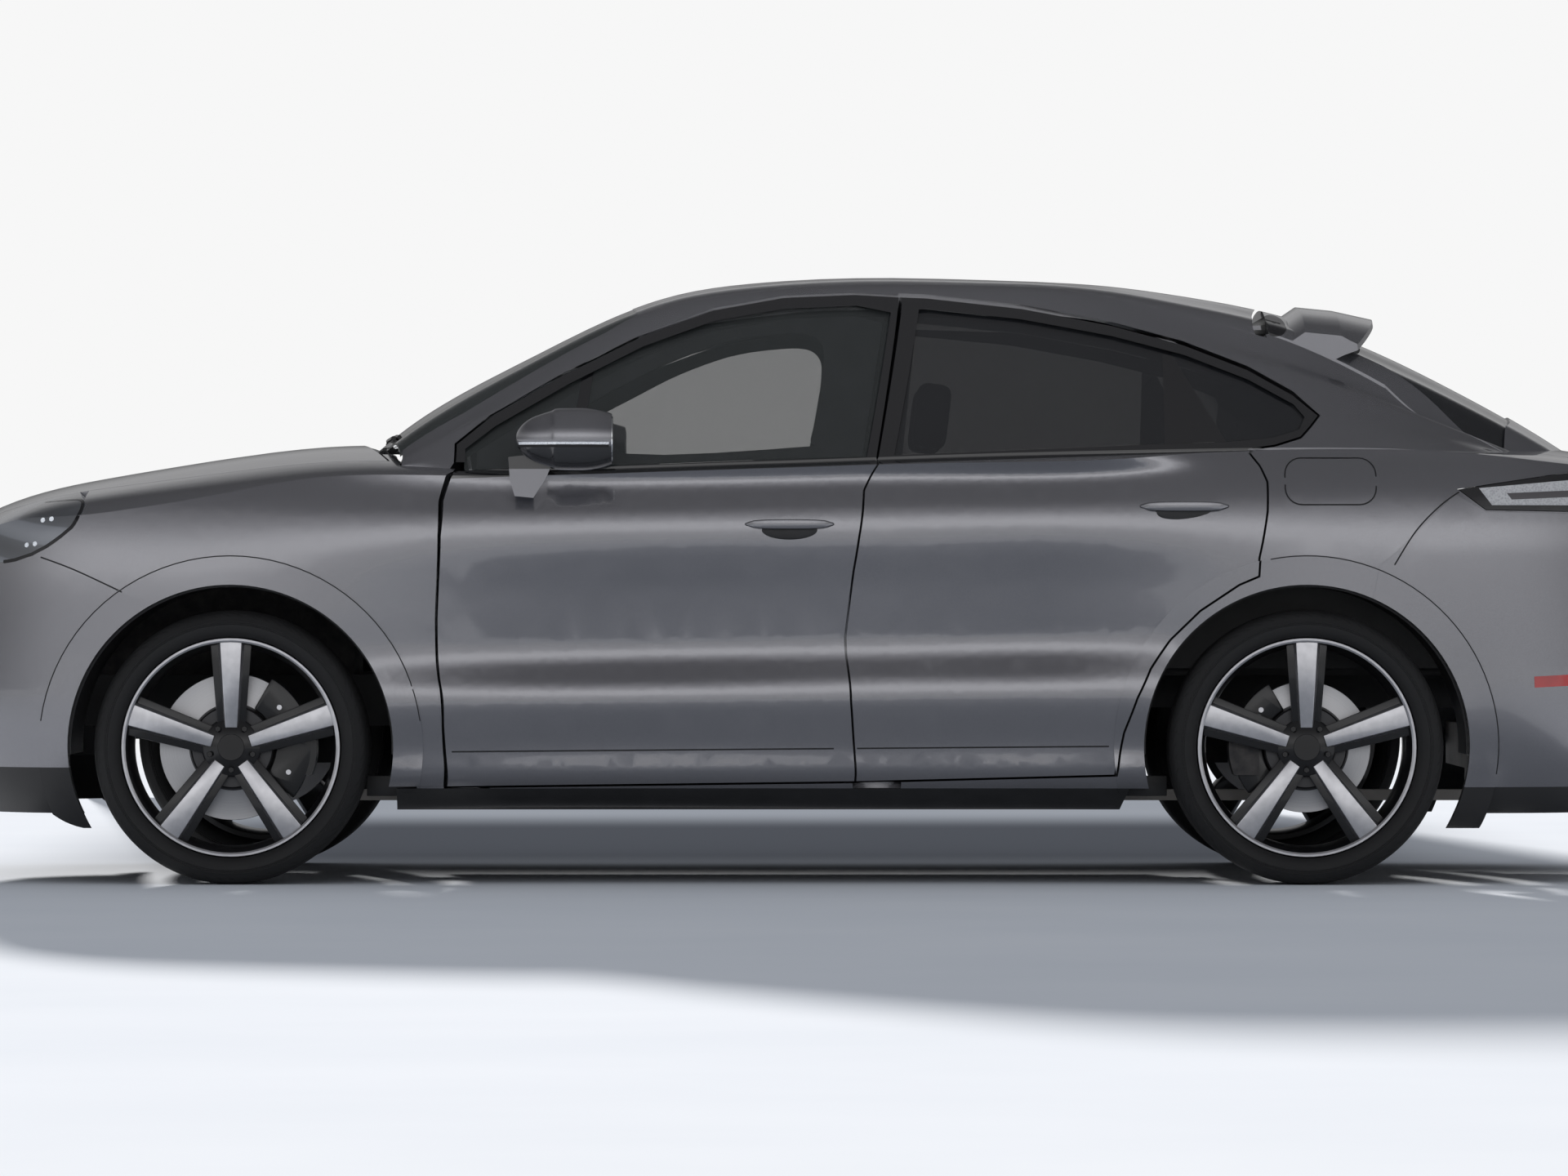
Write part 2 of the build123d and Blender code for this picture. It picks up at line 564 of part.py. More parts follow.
def grille_outline(shrink):
    half, low, high, corner = 470 - shrink, 560 + shrink, 815 - shrink, 70
    points = [(-half, low + corner), (-half + corner, low), (half - corner, low), (half, low + corner), (half - 40, high),
              (-half + 40, high)]
    face = Face(Wire(Polyline(*[(NOSE_X - 50, y, z) for y, z in points], close=True).edges()))
    return extrude(face, amount=300, dir=(1, 0, 0))


INTAKE_DEPTH = 28.0
INTAKE_BARS = (520, 585, 650)  # lower edges of the three slots of a side intake
SLOT_HEIGHT = 48.0


def front_recesses():
    """Blind slots of the side intakes, and the long one below the grille."""
    slots = []
    for z in INTAKE_BARS:
        slots.append(block(NOSE_X - 50, NOSE_X + 420, -790, -560, z, z + SLOT_HEIGHT))
        slots.append(block(NOSE_X - 50, NOSE_X + 420, 560, 790, z, z + SLOT_HEIGHT))
    slots.append(block(NOSE_X - 50, NOSE_X + 420, -600, 600, 345, 425))
    within = lower_volume(INTAKE_DEPTH)
    return [slot - within for slot in slots]


def front_bumper():
    skin = (LOWER & side_prism(FRONT_BUMPER, inner=1300)) - LOWER_PANEL
    cap = (LOWER & side_prism(NOSE_CAP, inner=1300)) - LOWER_PANEL
    whole = skin + cap
    whole -= plan_prism(grown(HOOD_PLAN, GAP))
    for side in (-1, 1):
        lamp = side_prism(grown(LAMP, SEAT_GAP), inner=HEADLAMP_INNER + SEAT_GAP)
        whole -= lamp if side < 0 else mirrored(lamp)
    whole -= grille_outline(0)
    whole -= tow_passages()[0]
    whole -= front_recesses()
    return whole - FRONT_ARCH


GRILLE_SLATS = 4
SLAT_HEIGHT = 16.0


def grille():
    """A frame in the bumper's opening, with slats across it."""
    plate = (lower_volume(15) & grille_outline(SEAT_GAP)) - LOWER_PANEL
    low, high = 560 + 28, 815 - 24
    step = (high - low + SLAT_HEIGHT) / (GRILLE_SLATS + 1)
    for k in range(GRILLE_SLATS + 1):
        z = low + k * step
        plate -= block(NOSE_X - 50, NOSE_X + 400, -385, 385, z, z + step - SLAT_HEIGHT)
    return plate


# ---------------------------------------------------------------- rear end
def rear_bumper():
    skin = (LOWER & side_prism(REAR_BUMPER, inner=1300)) - LOWER_PANEL
    skin -= plan_prism(grown(TAILGATE_PLAN, GAP), TAILGATE_FLOOR - GAP, 1300)
    skin -= tow_passages()[1]
    return skin - REAR_ARCH


def tail_lamps():
    lamp = (LOWER & side_prism(TAIL_LAMP, inner=-500)) - LOWER_PANEL
    return both(lamp - plan_prism(grown(TAILGATE_PLAN, GAP)))


WING = ((0, 0, 0), (250, 12, 6), (420, 38, 26), (500, 62, 46), (545, 84, 66))  # half span, drop, set forward
WING_END = rear((-18, 1440), (20, 1496), (120, 1486), (163, 1466), (160, 1452), (104, 1424), (0, 1430))


def spoiler():
    """A wing over the rear glass, bowed like the roof, with an end plate each side that stands on the tailgate."""
    wires = []
    for y, drop, back in [(-y, drop, back) for y, drop, back in WING[:0:-1]] + list(WING):
        outline = rear((-24, 1530), (-18, 1556), (20, 1582), (120, 1572), (229 - back, 1548), (231 - back, 1533),
                       (140 - back / 2, 1512), (26, 1552))
        wires.append(Wire(Polyline(*[(x, y, z - drop) for x, z in outline], close=True).edges()))
    end = side_prism(WING_END, inner=-505, outer=-545)
    return Solid.make_loft(wires) + end + mirrored(end)


def tailgate():
    low = (LOWER & plan_prism(TAILGATE_PLAN, TAILGATE_FLOOR, 1300)) - LOWER_WALL
    top = (DOME & plan_prism(TAILGATE_PLAN, 1000, ABOVE)) - DOME_INNER
    low -= dome_volume(60)
    gate = low + top - plan_prism(REAR_GLASS_PLAN, 1100, ABOVE)
    gate = gate + (spoiler() - DOME_PILLAR)
    x, z = TAILGATE_HINGE
    for y in (-398, 398):
        gate -= block(x - 60, x + 20, y - 14, y + 14, 1400, ABOVE)
        gate += across(x, z, HINGE_PIN, y - 20, y + 20)
    return gate


def rear_window():
    pane = dome_volume(GLASS_SET_IN) & plan_prism(grown(REAR_GLASS_PLAN, -SEAT_GAP), 1150, ABOVE)
    pane = pane - dome_volume(GLASS_SET_IN + GLASS)
    return pane


def windscreen():
    pane = dome_volume(2) & plan_prism(WINDSCREEN_PLAN, 1100, ABOVE)
    return pane - dome_volume(2 + GLASS)


def roof_panel():
    panel = (DOME & plan_prism(ROOF_PLAN, 1300, ABOVE)) - DOME_PILLAR
    panel -= drums(TAILGATE_HINGE, 64)
    eye = hinge_eye(TAILGATE_HINGE, -406, -390, 100)
    return panel + eye + mirrored(eye)


# ---------------------------------------------------------------- floor, sills, wheel houses
def ring_tube(x, z, outer, inner, y0, y1):
    return across(x, z, outer, y0, y1) - across(x, z, inner, y0 - 5, y1 + 5)


def sill_trims():
    outline = front((445, 200), (445, SILL_FLOOR - SEAT_GAP), (2420, SILL_FLOOR - SEAT_GAP), (2395, 200))
    strip = (LOWER & side_prism(outline, inner=-800)) - lower_volume(60)
    return both(strip)


BOOT_FLOOR = 585.0


def wheel_liners():
    """Half drums over the wheels; the rear ones are closed inboard, above the boot floor."""
    solids = []
    for axle, inner in ((FRONT_AXLE, 505), (REAR_AXLE, 640)):
        tube = ring_tube(axle, TYRE_RADIUS, ARCH_RADIUS - SEAT_GAP, ARCH_RADIUS - 6, -925, -inner)
        solids.append(tube & block(axle - 500, axle + 500, -1000, 0, 350, 1000))
    wall = across(REAR_AXLE, TYRE_RADIUS, ARCH_RADIUS - SEAT_GAP, -645, -640)
    wall = wall & block(REAR_AXLE - 500, REAR_AXLE + 500, -645, -640, BOOT_FLOOR, 1000)
    ledge = block(REAR_AXLE - 440, REAR_AXLE + 440, -645, -620 - SEAT_GAP, BOOT_FLOOR - 6, BOOT_FLOOR)
    solids[1] = solids[1] + wall + ledge
    return both(*solids)


FLOOR_Z = 290.0
FLOOR_HALF = 770.0
JACK_PAD_X = (FRONT_AXLE + 560, REAR_AXLE - 620)
JACK_PAD_Y = 725.0
JACK_PAD_Z = 240.0
TOW_EYE = (300.0, 490.0)  # y and z of the towing eye's threaded sockets, front and rear
TOW_SOCKET_RADIUS = 9.0
TOW_COVER_RADIUS = 24.0


def tow_passages():
    """Round holes through both bumpers for the towing eye."""
    y, z = TOW_EYE
    return [Pos(x, y, z) * Rot(0, 90, 0) * Cylinder(TOW_COVER_RADIUS, 500) for x in (NOSE_X, TAIL_X)]


def tow_sockets():
    """Threaded sockets through the front and rear cross members."""
    y, z = TOW_EYE
    return [Pos(x, y, z) * Rot(0, 90, 0) * Cylinder(TOW_SOCKET_RADIUS, 80) for x in (NOSE_X + 200, REAR_AXLE + 925)]


def floor_pan():
    """Floor with its tunnel, bulkhead, boot floor, side members and cross members, as one pressing."""
    front_x, step = FRONT_AXLE + 500, REAR_AXLE - 480
    whole = block(front_x, step, -FLOOR_HALF, FLOOR_HALF, 262, FLOOR_Z)
    whole = whole + block(front_x, step, -150, 150, 262, 420)
    whole = whole - block(front_x - 1, step + 1, -120, 120, 200, 395)
    whole = whole + block(step, step + 30, -620, 620, 262, 560)
    whole = whole + block(step, REAR_AXLE + 900, -620, 620, 560, BOOT_FLOOR)
    whole = whole + block(front_x - 30, front_x, -740, 740, 262, 1040)
    for side in (-1, 1):
        y = sorted((side * 380, side * 460))
        whole = whole + block(NOSE_X + 230, front_x - 30, y[0], y[1], 420, 560)
        whole = whole + block(step + 30, REAR_AXLE + 900, y[0], y[1], 470, 560)
    whole = whole + block(NOSE_X + 170, NOSE_X + 230, -560, 560, 420, 560)
    whole = whole + block(REAR_AXLE + 900, REAR_AXLE + 950, -560, 560, 430, 585)
    for plate in hood_hinge_plates().solids():
        whole = whole + plate
    for x in JACK_PAD_X:
        for y in (-JACK_PAD_Y, JACK_PAD_Y):
            whole = whole + block(x - 40, x + 40, y - 25, y + 25, JACK_PAD_Z, 262)
    for socket in tow_sockets():
        whole = whole - socket
    return whole


def engine_block():
    return block(FRONT_AXLE - 420, FRONT_AXLE + 300, -240, 240, 380, 860)


HUB_IN = 90.0  # from the wheel's middle plane inboard to the steering axis and the hub carrier
STUB_RADIUS = 49.7
POST_FOOT = TYRE_RADIUS - 60


def hub_carrier(width, disc_radius, side):
    """A left hub carrier about the wheel's centre, with its stub and a caliper ahead (-1) or behind (1)."""
    plate_out = width / 2 - 118  # outboard face of the disc
    post = block(-45, 45, HUB_IN - 45, HUB_IN + 25, -60, 150)
    stub = across(0, 0, STUB_RADIUS, HUB_IN - 40, -(plate_out + 33.2))
    far = disc_radius + 34
    caliper = block(side * 125, side * far, -(plate_out + 30), HUB_IN - 45, -75, 75)
    slot = across(0, 0, disc_radius + 6, -(plate_out + 6), -(plate_out - 32))
    bracket = block(side * 40, side * 130, 20, HUB_IN - 45, -50, 50)
    rounded = across(0, 0, disc_radius + 30, -200, 200)
    return post + stub + (((caliper + bracket) - slot) & rounded) + (bracket & rounded)


def suspension():
    """Subframes, lower arms and, at the rear, the hub carriers, which don't steer."""
    solids = []
    for axle, half_track, rail_low in ((FRONT_AXLE, TRACK_HALF_FRONT, 420), (REAR_AXLE, TRACK_HALF_REAR, 470)):
        beam = block(axle - 60, axle + 60, -470, 470, 250, 308)
        for side in (-1, 1):
            y = sorted((side * 380, side * 460))
            beam = beam + block(axle - 60, axle + 60, y[0], y[1], 308, rail_low - SEAT_GAP)
            y = sorted((side * 465, side * (half_track - HUB_IN + 30)))
            beam = beam + block(axle - 45, axle + 45, y[0], y[1], 262, POST_FOOT - SEAT_GAP)
        solids.append(beam)
    solids[0] = solids[0] + block(FRONT_AXLE - 60, FRONT_AXLE + 60, -200, 200, 308, 380 - SEAT_GAP)
    carrier = Pos(REAR_AXLE, -TRACK_HALF_REAR, TYRE_RADIUS) * hub_carrier(TYRE_WIDTH_REAR, 177, -1)
    foot = block(REAR_AXLE - 45, REAR_AXLE + 45, -TRACK_HALF_REAR + HUB_IN - 30, -TRACK_HALF_REAR + HUB_IN + 20, 262, 320)
    solids[1] = solids[1] + (carrier + foot) + mirrored(carrier + foot)
    return Compound(children=[s for shape in solids for s in shape.solids()])


def exhaust():
    silencer_x = REAR_AXLE + 480
    whole = block(FRONT_AXLE + 300, silencer_x + 80, -30, 30, 205, 235)
    whole = whole + block(silencer_x + 20, silencer_x + 80, -30, 30, 230, 305)
    whole = whole + block(silencer_x, silencer_x + 320, -470, 470, 300, 420)
    for side in (-1, 1):
        y = sorted((side * 400, side * 440))
        whole = whole + block(silencer_x + 140, silencer_x + 180, y[0], y[1], 415, 470 - SEAT_GAP)
    return whole


# ---------------------------------------------------------------- wheels
def lathe(profile, y):
    """A ring about the Y axis through the hub; profile in (radius, outward) with outward towards -Y."""
    face = Face(Wire(Polyline(*[(r, -w, 0) for r, w in profile], close=True).edges()))
    return Pos(0, y, 0) * revolve(face, Axis.Y)


def tyre(width):
    h = width / 2
    r = TYRE_RADIUS
    profile = [(RIM_RADIUS + SEAT_GAP, -h + 22), (RIM_RADIUS + 14, -h + 8), (RIM_RADIUS + 40, -h), (r - 22, -h + 6),
               (r - 4, -h + 24), (r, -h + 48), (r, h - 48), (r - 4, h - 24), (r - 22, h - 6), (RIM_RADIUS + 40, h),
               (RIM_RADIUS + 14, h - 8), (RIM_RADIUS + SEAT_GAP, h - 22), (RIM_RADIUS - 13, h - 24),
               (RIM_RADIUS - 13, -h + 24)]
    return lathe(profile[:12] , 0)


def rim(width, disc_radius):
    """A five-spoke wheel with its brake disc; both turn together."""
    edge = width / 2 - 22
    barrel = [(RIM_RADIUS, -edge), (RIM_RADIUS, edge), (RIM_RADIUS - 14, edge), (RIM_RADIUS - 24, edge - 20),
              (RIM_RADIUS - 26, -edge + 10), (RIM_RADIUS - 14, -edge)]
    wheel = lathe(barrel, 0)
    wheel = wheel + lathe([(0, edge - 20), (0, edge - 62), (78, edge - 62), (78, edge - 24), (60, edge - 16)], 0)
    foot, tip = -(edge - 26), -(edge - 8)
    outline = [(34, foot, 50), (-34, foot, 50), (-50, tip, RIM_RADIUS - 18), (50, tip, RIM_RADIUS - 18)]
    blade = extrude(Face(Wire(Polyline(*outline, close=True).edges())), amount=32, dir=(0, 1, 0))
    for k in range(5):
        wheel = wheel + Rot(0, 72 * k, 0) * blade
    hat = edge - 62.5
    disc = lathe([(50, hat), (50, hat - 60), (disc_radius, hat - 60), (disc_radius, hat - 34), (110, hat - 34), (110, hat)], 0)
    return Compound(children=[wheel, disc])


def place_wheels():
    for name, axle, half_track, width, disc in (("front", FRONT_AXLE, TRACK_HALF_FRONT, TYRE_WIDTH_FRONT, 198),
                                                ("rear", REAR_AXLE, TRACK_HALF_REAR, TYRE_WIDTH_REAR, 177)):
        spot = Pos(axle, -half_track, TYRE_RADIUS)
        save_pair(spot * tyre(width), "tyre_" + name)
        save_pair(spot * rim(width, disc), "rim_" + name)
    front_hub = Pos(FRONT_AXLE, -TRACK_HALF_FRONT, TYRE_RADIUS)
    save_pair(front_hub * hub_carrier(TYRE_WIDTH_FRONT, 198, 1), "knuckle_front")


# ---------------------------------------------------------------- cabin
DASH = front((510, 700), (510, 1035), (700, 1065), (860, 1010), (820, 760), (700, 690))


def dashboard():
    board = side_prism(DASH, inner=740, outer=-740)
    console = block(FRONT_AXLE + 700, FRONT_AXLE + 1500, -110, 110, 420 + SEAT_GAP, 700)
    return board + console


def steering_wheel():
    hoop = Torus(178, 14)
    spokes = Box(330, 26, 18) + Pos(0, -80, 0) * Box(30, 160, 18) + Cylinder(48, 34)
    column = Pos(0, 0, -110) * Cylinder(28, 200)
    whole = Pos(FRONT_AXLE + 980, -370, 985) * Rot(0, 65, 0) * Rot(0, 0, 90) * (hoop + spokes + column)
    return whole - side_prism(grown(DASH, SEAT_GAP), inner=740, outer=-740)


def seat(x, y, width):
    y0, y1 = y - width / 2, y + width / 2
    base = block(x + 60, x + 440, y0 + 60, y1 - 60, FLOOR_Z + SEAT_GAP, 430)
    cushion = block(x, x + 500, y0, y1, 430, 560)
    outline = [(x + 400, 560), (x + 520, 560), (x + 760, 1170), (x + 650, 1180)]
    back = side_prism(outline, inner=y1, outer=y0)
    head = block(x + 665, x + 765, y - 130, y + 130, 1170, 1360)
    return base + cushion + back + head


def front_seats():
    return both(seat(FRONT_AXLE + 1180, -380, 520))


def rear_seat():
    front_x, step = FRONT_AXLE + 1863, REAR_AXLE - 480
    bench = block(front_x, step - SEAT_GAP, -620, 620, FLOOR_Z + SEAT_GAP, 590)
    bench = bench - block(front_x - 1, step, -150 - SEAT_GAP, 150 + SEAT_GAP, 262, 420 + SEAT_GAP)
    outline = [(step - 90, 590), (step + 70, 590), (step + 250, 1120), (step + 150, 1130)]
    return bench + side_prism(outline, inner=620, outer=-620)


MIRROR_HEAD = (FRONT_AXLE + 933, -1010, 1198)
MIRROR_RADIUS = 84.0
MIRROR_NOSE = 165.0  # rounded length ahead of the head's middle
MIRROR_FACE = 94.0  # flat rear face, this far behind the middle


def mirror_housing():
    """A rounded head with a flat rear face, on a foot that stands on the door's skin."""
    crown = [(-MIRROR_NOSE * cos(turn), MIRROR_RADIUS * sin(turn)) for turn in (0, 0.35, 0.75, 1.15)]
    face_edge = (MIRROR_FACE, MIRROR_RADIUS - 16)
    widest = (0, MIRROR_RADIUS)
    bow = Spline(*crown, widest, tangents=[(0, 1), (1, 0)])
    shoulder = ThreePointArc(widest, (MIRROR_FACE * 0.55, MIRROR_RADIUS - 4), face_edge)
    profile = [bow, shoulder, Polyline(face_edge, (MIRROR_FACE, 0), (-MIRROR_NOSE, 0))]
    half = make_face(Curve() + profile)
    head = Pos(*MIRROR_HEAD) * revolve(half, Axis.X)
    outline = front((748, 1150), (752, 1090), (765, 1045), (815, 1040), (850, 1095), (880, 1165))
    foot = side_prism(outline, inner=-880, outer=-985)
    return (head + foot) - lower_volume(-SEAT_GAP)


def build_everything():
    doors()
    save_pair(body_side(), "body_side")
    save(hood(), "hood")
    save_pair(fender(), "fender")
    save(headlamps(), "headlamps")
    save(front_bumper(), "front_bumper")
    save(grille(), "grille")
    save(rear_bumper(), "rear_bumper")
    save(tail_lamps(), "tail_lamps")
    save(tailgate(), "tailgate")
    save(rear_window(), "rear_window")
    save(windscreen(), "windscreen")
    save(roof_panel(), "roof_panel")
    save(sill_trims(), "sill_trims")
    save(wheel_liners(), "wheel_liners")
    save(floor_pan(), "floor_pan")
    save(engine_block(), "engine_block")
    save(suspension(), "suspension")
    save(exhaust(), "exhaust")
    place_wheels()
    save(dashboard(), "dashboard")
    save(steering_wheel(), "steering_wheel")
    save(front_seats(), "front_seats")
    save(rear_seat(), "rear_seat")
    save_pair(mirror_housing(), "mirror")


if __name__ == "__main__":
    build_everything()
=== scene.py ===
import math

import bmesh
import bpy
from bpy.props import FloatProperty, FloatVectorProperty, IntProperty, PointerProperty
from mathutils import Matrix, Vector


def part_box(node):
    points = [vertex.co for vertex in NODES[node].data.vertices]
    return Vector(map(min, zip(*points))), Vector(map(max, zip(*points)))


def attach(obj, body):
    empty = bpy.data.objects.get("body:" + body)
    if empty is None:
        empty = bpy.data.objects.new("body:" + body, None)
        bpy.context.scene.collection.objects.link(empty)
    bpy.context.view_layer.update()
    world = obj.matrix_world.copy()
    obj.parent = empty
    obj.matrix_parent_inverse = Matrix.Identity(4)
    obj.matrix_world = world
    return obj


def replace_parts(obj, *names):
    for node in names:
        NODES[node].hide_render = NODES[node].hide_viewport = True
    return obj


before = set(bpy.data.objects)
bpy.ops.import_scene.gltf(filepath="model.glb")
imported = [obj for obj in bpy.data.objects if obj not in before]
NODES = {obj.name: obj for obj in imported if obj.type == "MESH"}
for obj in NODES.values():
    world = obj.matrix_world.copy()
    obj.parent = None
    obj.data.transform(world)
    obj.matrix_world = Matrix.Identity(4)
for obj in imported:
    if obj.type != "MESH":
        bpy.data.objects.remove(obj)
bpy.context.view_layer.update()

bl_info = {
    "name": "Coupe sport utility vehicle",
    "version": (1, 0, 0),
    "blender": (4, 5, 0),
    "location": "View3D > Sidebar > Vehicle",
    "description": "Finishes, wheels, lamps, trim and seats for the coupe sport utility vehicle",
    "category": "Object",
}

SIDES = (("left", -1), ("right", 1))
ENDS = ("front", "rear")


def wheel_place(end, side):
    """The centre of a wheel and half its tyre's width."""
    low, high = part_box(f"tyre_{end}_{side}")
    return (low + high) / 2, (high.y - low.y) / 2


FRONT_AXLE, _, AXLE_Z = wheel_place("front", "left")[0]
REAR_AXLE = wheel_place("rear", "left")[0].x
BELT_Z = 1.2
# a window divider's two edges: where each crosses BELT_Z, and its lean
FRONT_DIVIDER = ((FRONT_AXLE + 0.913, 0.16), (FRONT_AXLE + 0.943, 0.16))
REAR_DIVIDER = ((REAR_AXLE - 0.377, 0.0), (REAR_AXLE - 0.213, -0.59))
TAILGATE_HINGE = (1.302, 1.52)  # x and z of the tailgate's hinge line


# ---------------------------------------------------------------- sizes and colours
class VehicleColours(bpy.types.PropertyGroup):
    paint: FloatVectorProperty(name="Paint", description="Colour of the metallic paint", subtype="COLOR",
                               size=3, min=0, max=1, default=(0.185, 0.185, 0.2))
    trim: FloatVectorProperty(name="Gloss trim", description="Colour of the window surrounds", subtype="COLOR",
                              size=3, min=0, max=1, default=(0.005, 0.005, 0.006))
    plastic: FloatVectorProperty(name="Grained plastic", description="Colour of the sills and lower lips",
                                 subtype="COLOR", size=3, min=0, max=1, default=(0.011, 0.011, 0.012))
    leather: FloatVectorProperty(name="Leather", description="Colour of the seats", subtype="COLOR",
                                 size=3, min=0, max=1, default=(0.02, 0.02, 0.022))
    rubber: FloatVectorProperty(name="Rubber", description="Colour of the tyres", subtype="COLOR",
                                size=3, min=0, max=1, default=(0.006, 0.006, 0.0065))
    red: FloatVectorProperty(name="Red lens", description="Colour of the tail lamps and reflectors",
                             subtype="COLOR", size=3, min=0, max=1, default=(0.42, 0.012, 0.015))


class WheelSizes(bpy.types.PropertyGroup):
    spokes: IntProperty(name="Spokes", description="How many spokes a wheel has", default=5, min=3, max=10)
    rim: FloatProperty(name="Rim radius", description="Outer radius of the rim", default=0.297, unit="LENGTH")
    face_hub: FloatProperty(name="Face width at hub", description="Width of a spoke's bright face at the hub",
                            default=0.031, unit="LENGTH")
    face_tip: FloatProperty(name="Face width at rim", description="Width of a spoke's bright face at the rim",
                            default=0.058, unit="LENGTH")
    flank: FloatProperty(name="Flank", description="Width of the dark flank each side of a bright face",
                         default=0.028, unit="LENGTH")


class TyreSizes(bpy.types.PropertyGroup):
    grooves: IntProperty(name="Grooves", description="Grooves round the tread", default=4, min=2, max=6)
    depth: FloatProperty(name="Groove depth", description="Depth of the tread grooves", default=0.006, unit="LENGTH")
    steps: IntProperty(name="Steps", description="Steps round a tyre", default=128, min=48, max=256)


class TrimSizes(bpy.types.PropertyGroup):
    handle: FloatProperty(name="Handle length", description="Length of a door handle", default=0.241, unit="LENGTH")
    # the shut line's width is also that of the painted shade drawn along the door foot's groove
    line: FloatProperty(name="Shut line", description="Width of the drawn shut lines", default=0.004, unit="LENGTH")


class StageSizes(bpy.types.PropertyGroup):
    floor: FloatProperty(name="Floor radius", description="How far the floor reaches", default=60.0, unit="LENGTH")
    camera_back: FloatProperty(name="Camera distance", description="Distance of the camera from the middle",
                               default=24.98, unit="LENGTH")
    camera_height: FloatProperty(name="Camera height", description="Height of the camera", default=0.798,
                                 unit="LENGTH")


# ---------------------------------------------------------------- finishes
class Graph:
    """The nodes of one finish."""

    def __init__(self, owner):
        self.tree = owner.node_tree
        self.shader = self.tree.nodes.get("Principled BSDF")

    def node(self, kind, settings=None, **inputs):
        made = self.tree.nodes.new("ShaderNode" + kind)
        for key, value in (settings or {}).items():
            setattr(made, key, value)
        for key, value in inputs.items():
            self.feed(made.inputs[key.replace("_", " ")], value)
        return made

    def feed(self, socket, value):
        if isinstance(value, bpy.types.NodeSocket):
            self.tree.links.new(value, socket)
        else:
            socket.default_value = value

    def set(self, **inputs):
        for key, value in inputs.items():
            self.feed(self.shader.inputs[key.replace("_", " ")], value)

    def place(self, output="Object"):
        return self.node("TexCoord").outputs[output]

    def axes(self, output="Object"):
        return self.node("SeparateXYZ", Vector=self.place(output)).outputs

    def centred(self, centre):
        return self.node("Mapping", Vector=self.place(), Location=[-c for c in centre]).outputs["Vector"]

    def maths(self, operation, first, second=0.0, third=0.0):
        made = self.node("Math", {"operation": operation})
        for socket, value in zip(made.inputs, (first, second, third)):
            self.feed(socket, value)
        return made.outputs[0]

    def times(self, first, second):
        return self.maths("MULTIPLY", first, second)

    def plus(self, first, second):
        return self.maths("ADD", first, second)

    def minus(self, first, second):
        return self.maths("SUBTRACT", first, second)

    def over(self, value, limit):
        return self.maths("GREATER_THAN", value, limit)

    def under(self, value, limit):
        return self.maths("LESS_THAN", value, limit)

    def line(self, value, slope, start):
        return self.maths("MULTIPLY_ADD", value, slope, start)

    def reach(self, first, second):
        """The length of a flat vector."""
        return self.maths("SQRT", self.plus(self.times(first, first), self.times(second, second)))

    def from_hub(self, centre):
        """The distance from a wheel's axle, whose centre is given."""
        x, y, z = self.node("SeparateXYZ", Vector=self.centred(centre)).outputs
        return self.reach(x, z)

    def noise(self, scale, detail=2.0, roughness=0.5, vector=None):
        return self.node("TexNoise", Vector=vector or self.place(), Scale=scale, Detail=detail,
                         Roughness=roughness).outputs["Fac"]

    def cells(self, scale, output="Distance", vector=None):
        return self.node("TexVoronoi", Vector=vector or self.place(), Scale=scale).outputs[output]

    def ramp(self, factor, *stops):
        made = self.node("ValToRGB", Fac=factor)
        elements = made.color_ramp.elements
        while len(elements) < len(stops):
            elements.new(0.5)
        for element, (place, colour) in zip(elements, stops):
            element.position = place
            element.color = tuple(colour) + (1.0,)
        return made.outputs["Color"]

    def mottled(self, factor, dark, light, high=0.7):
        return self.ramp(factor, (0.3, dark), (high, light))

    def varied(self, factor, colour, dark, light, high=0.7):
        """A colour that is a little darker in places and lighter in others."""
        return self.mottled(factor, shade(colour, dark), shade(colour, light), high)

    def blend(self, factor, first, second):
        made = self.node("Mix", {"data_type": "RGBA"})
        self.feed(made.inputs[0], factor)
        self.feed(made.inputs[6], first if isinstance(first, bpy.types.NodeSocket) else tuple(first) + (1.0,))
        self.feed(made.inputs[7], second if isinstance(second, bpy.types.NodeSocket) else tuple(second) + (1.0,))
        return made.outputs[2]

    def between(self, factor, first, second):
        """A number that goes from first to second with the factor."""
        return self.line(factor, second - first, first)

    def bumps(self, height, strength, distance=0.001):
        made = self.node("Bump", Height=height, Strength=strength, Distance=distance)
        self.set(Normal=made.outputs["Normal"])


def shade(colour, times):
    return [min(1.0, c * times) for c in colour]


def finish(build, *details, name=None, **settings):
    name = "vehicle " + (name or build.__name__.replace("_", " "))
    if name not in bpy.data.materials:
        made = bpy.data.materials.new(name)
        made.use_nodes = True
        build(Graph(made), *details, **settings)
    return bpy.data.materials[name]


def colours():
    return bpy.context.scene.vehicle_colours


def mirror_shell(g):
    """Body paint with a black lower shell and a painted foot."""
    paint(g)
    z = g.axes()[2]
    painted = g.shader.inputs["Base Color"].links[0].from_socket
    lower = g.times(g.over(z, 1.118), g.under(z, 1.178))
    g.set(Base_Color=g.blend(lower, painted, colours().trim), Metallic=g.between(lower, PAINT_METAL, 0.0))


PAINT_METAL = 0.85
PAINT_ROUGH = 0.27
BELT_START = 1.094  # height at the front of the doors above which they are gloss black, and how it rises
BELT_SLOPE = 0.0348
# radius of the black disc of painted shade round the tailgate's hinge line
HINGE_SHADE_RADIUS = 0.034


def flakes(g, colour):
    """Metallic paint's own colour, which varies from flake to flake."""
    grain = g.cells(900.0, "Color")
    tone = g.node("SeparateColor", Color=grain).outputs[0]
    return g.ramp(tone, (0.0, shade(colour, 0.88)), (1.0, shade(colour, 1.12)))


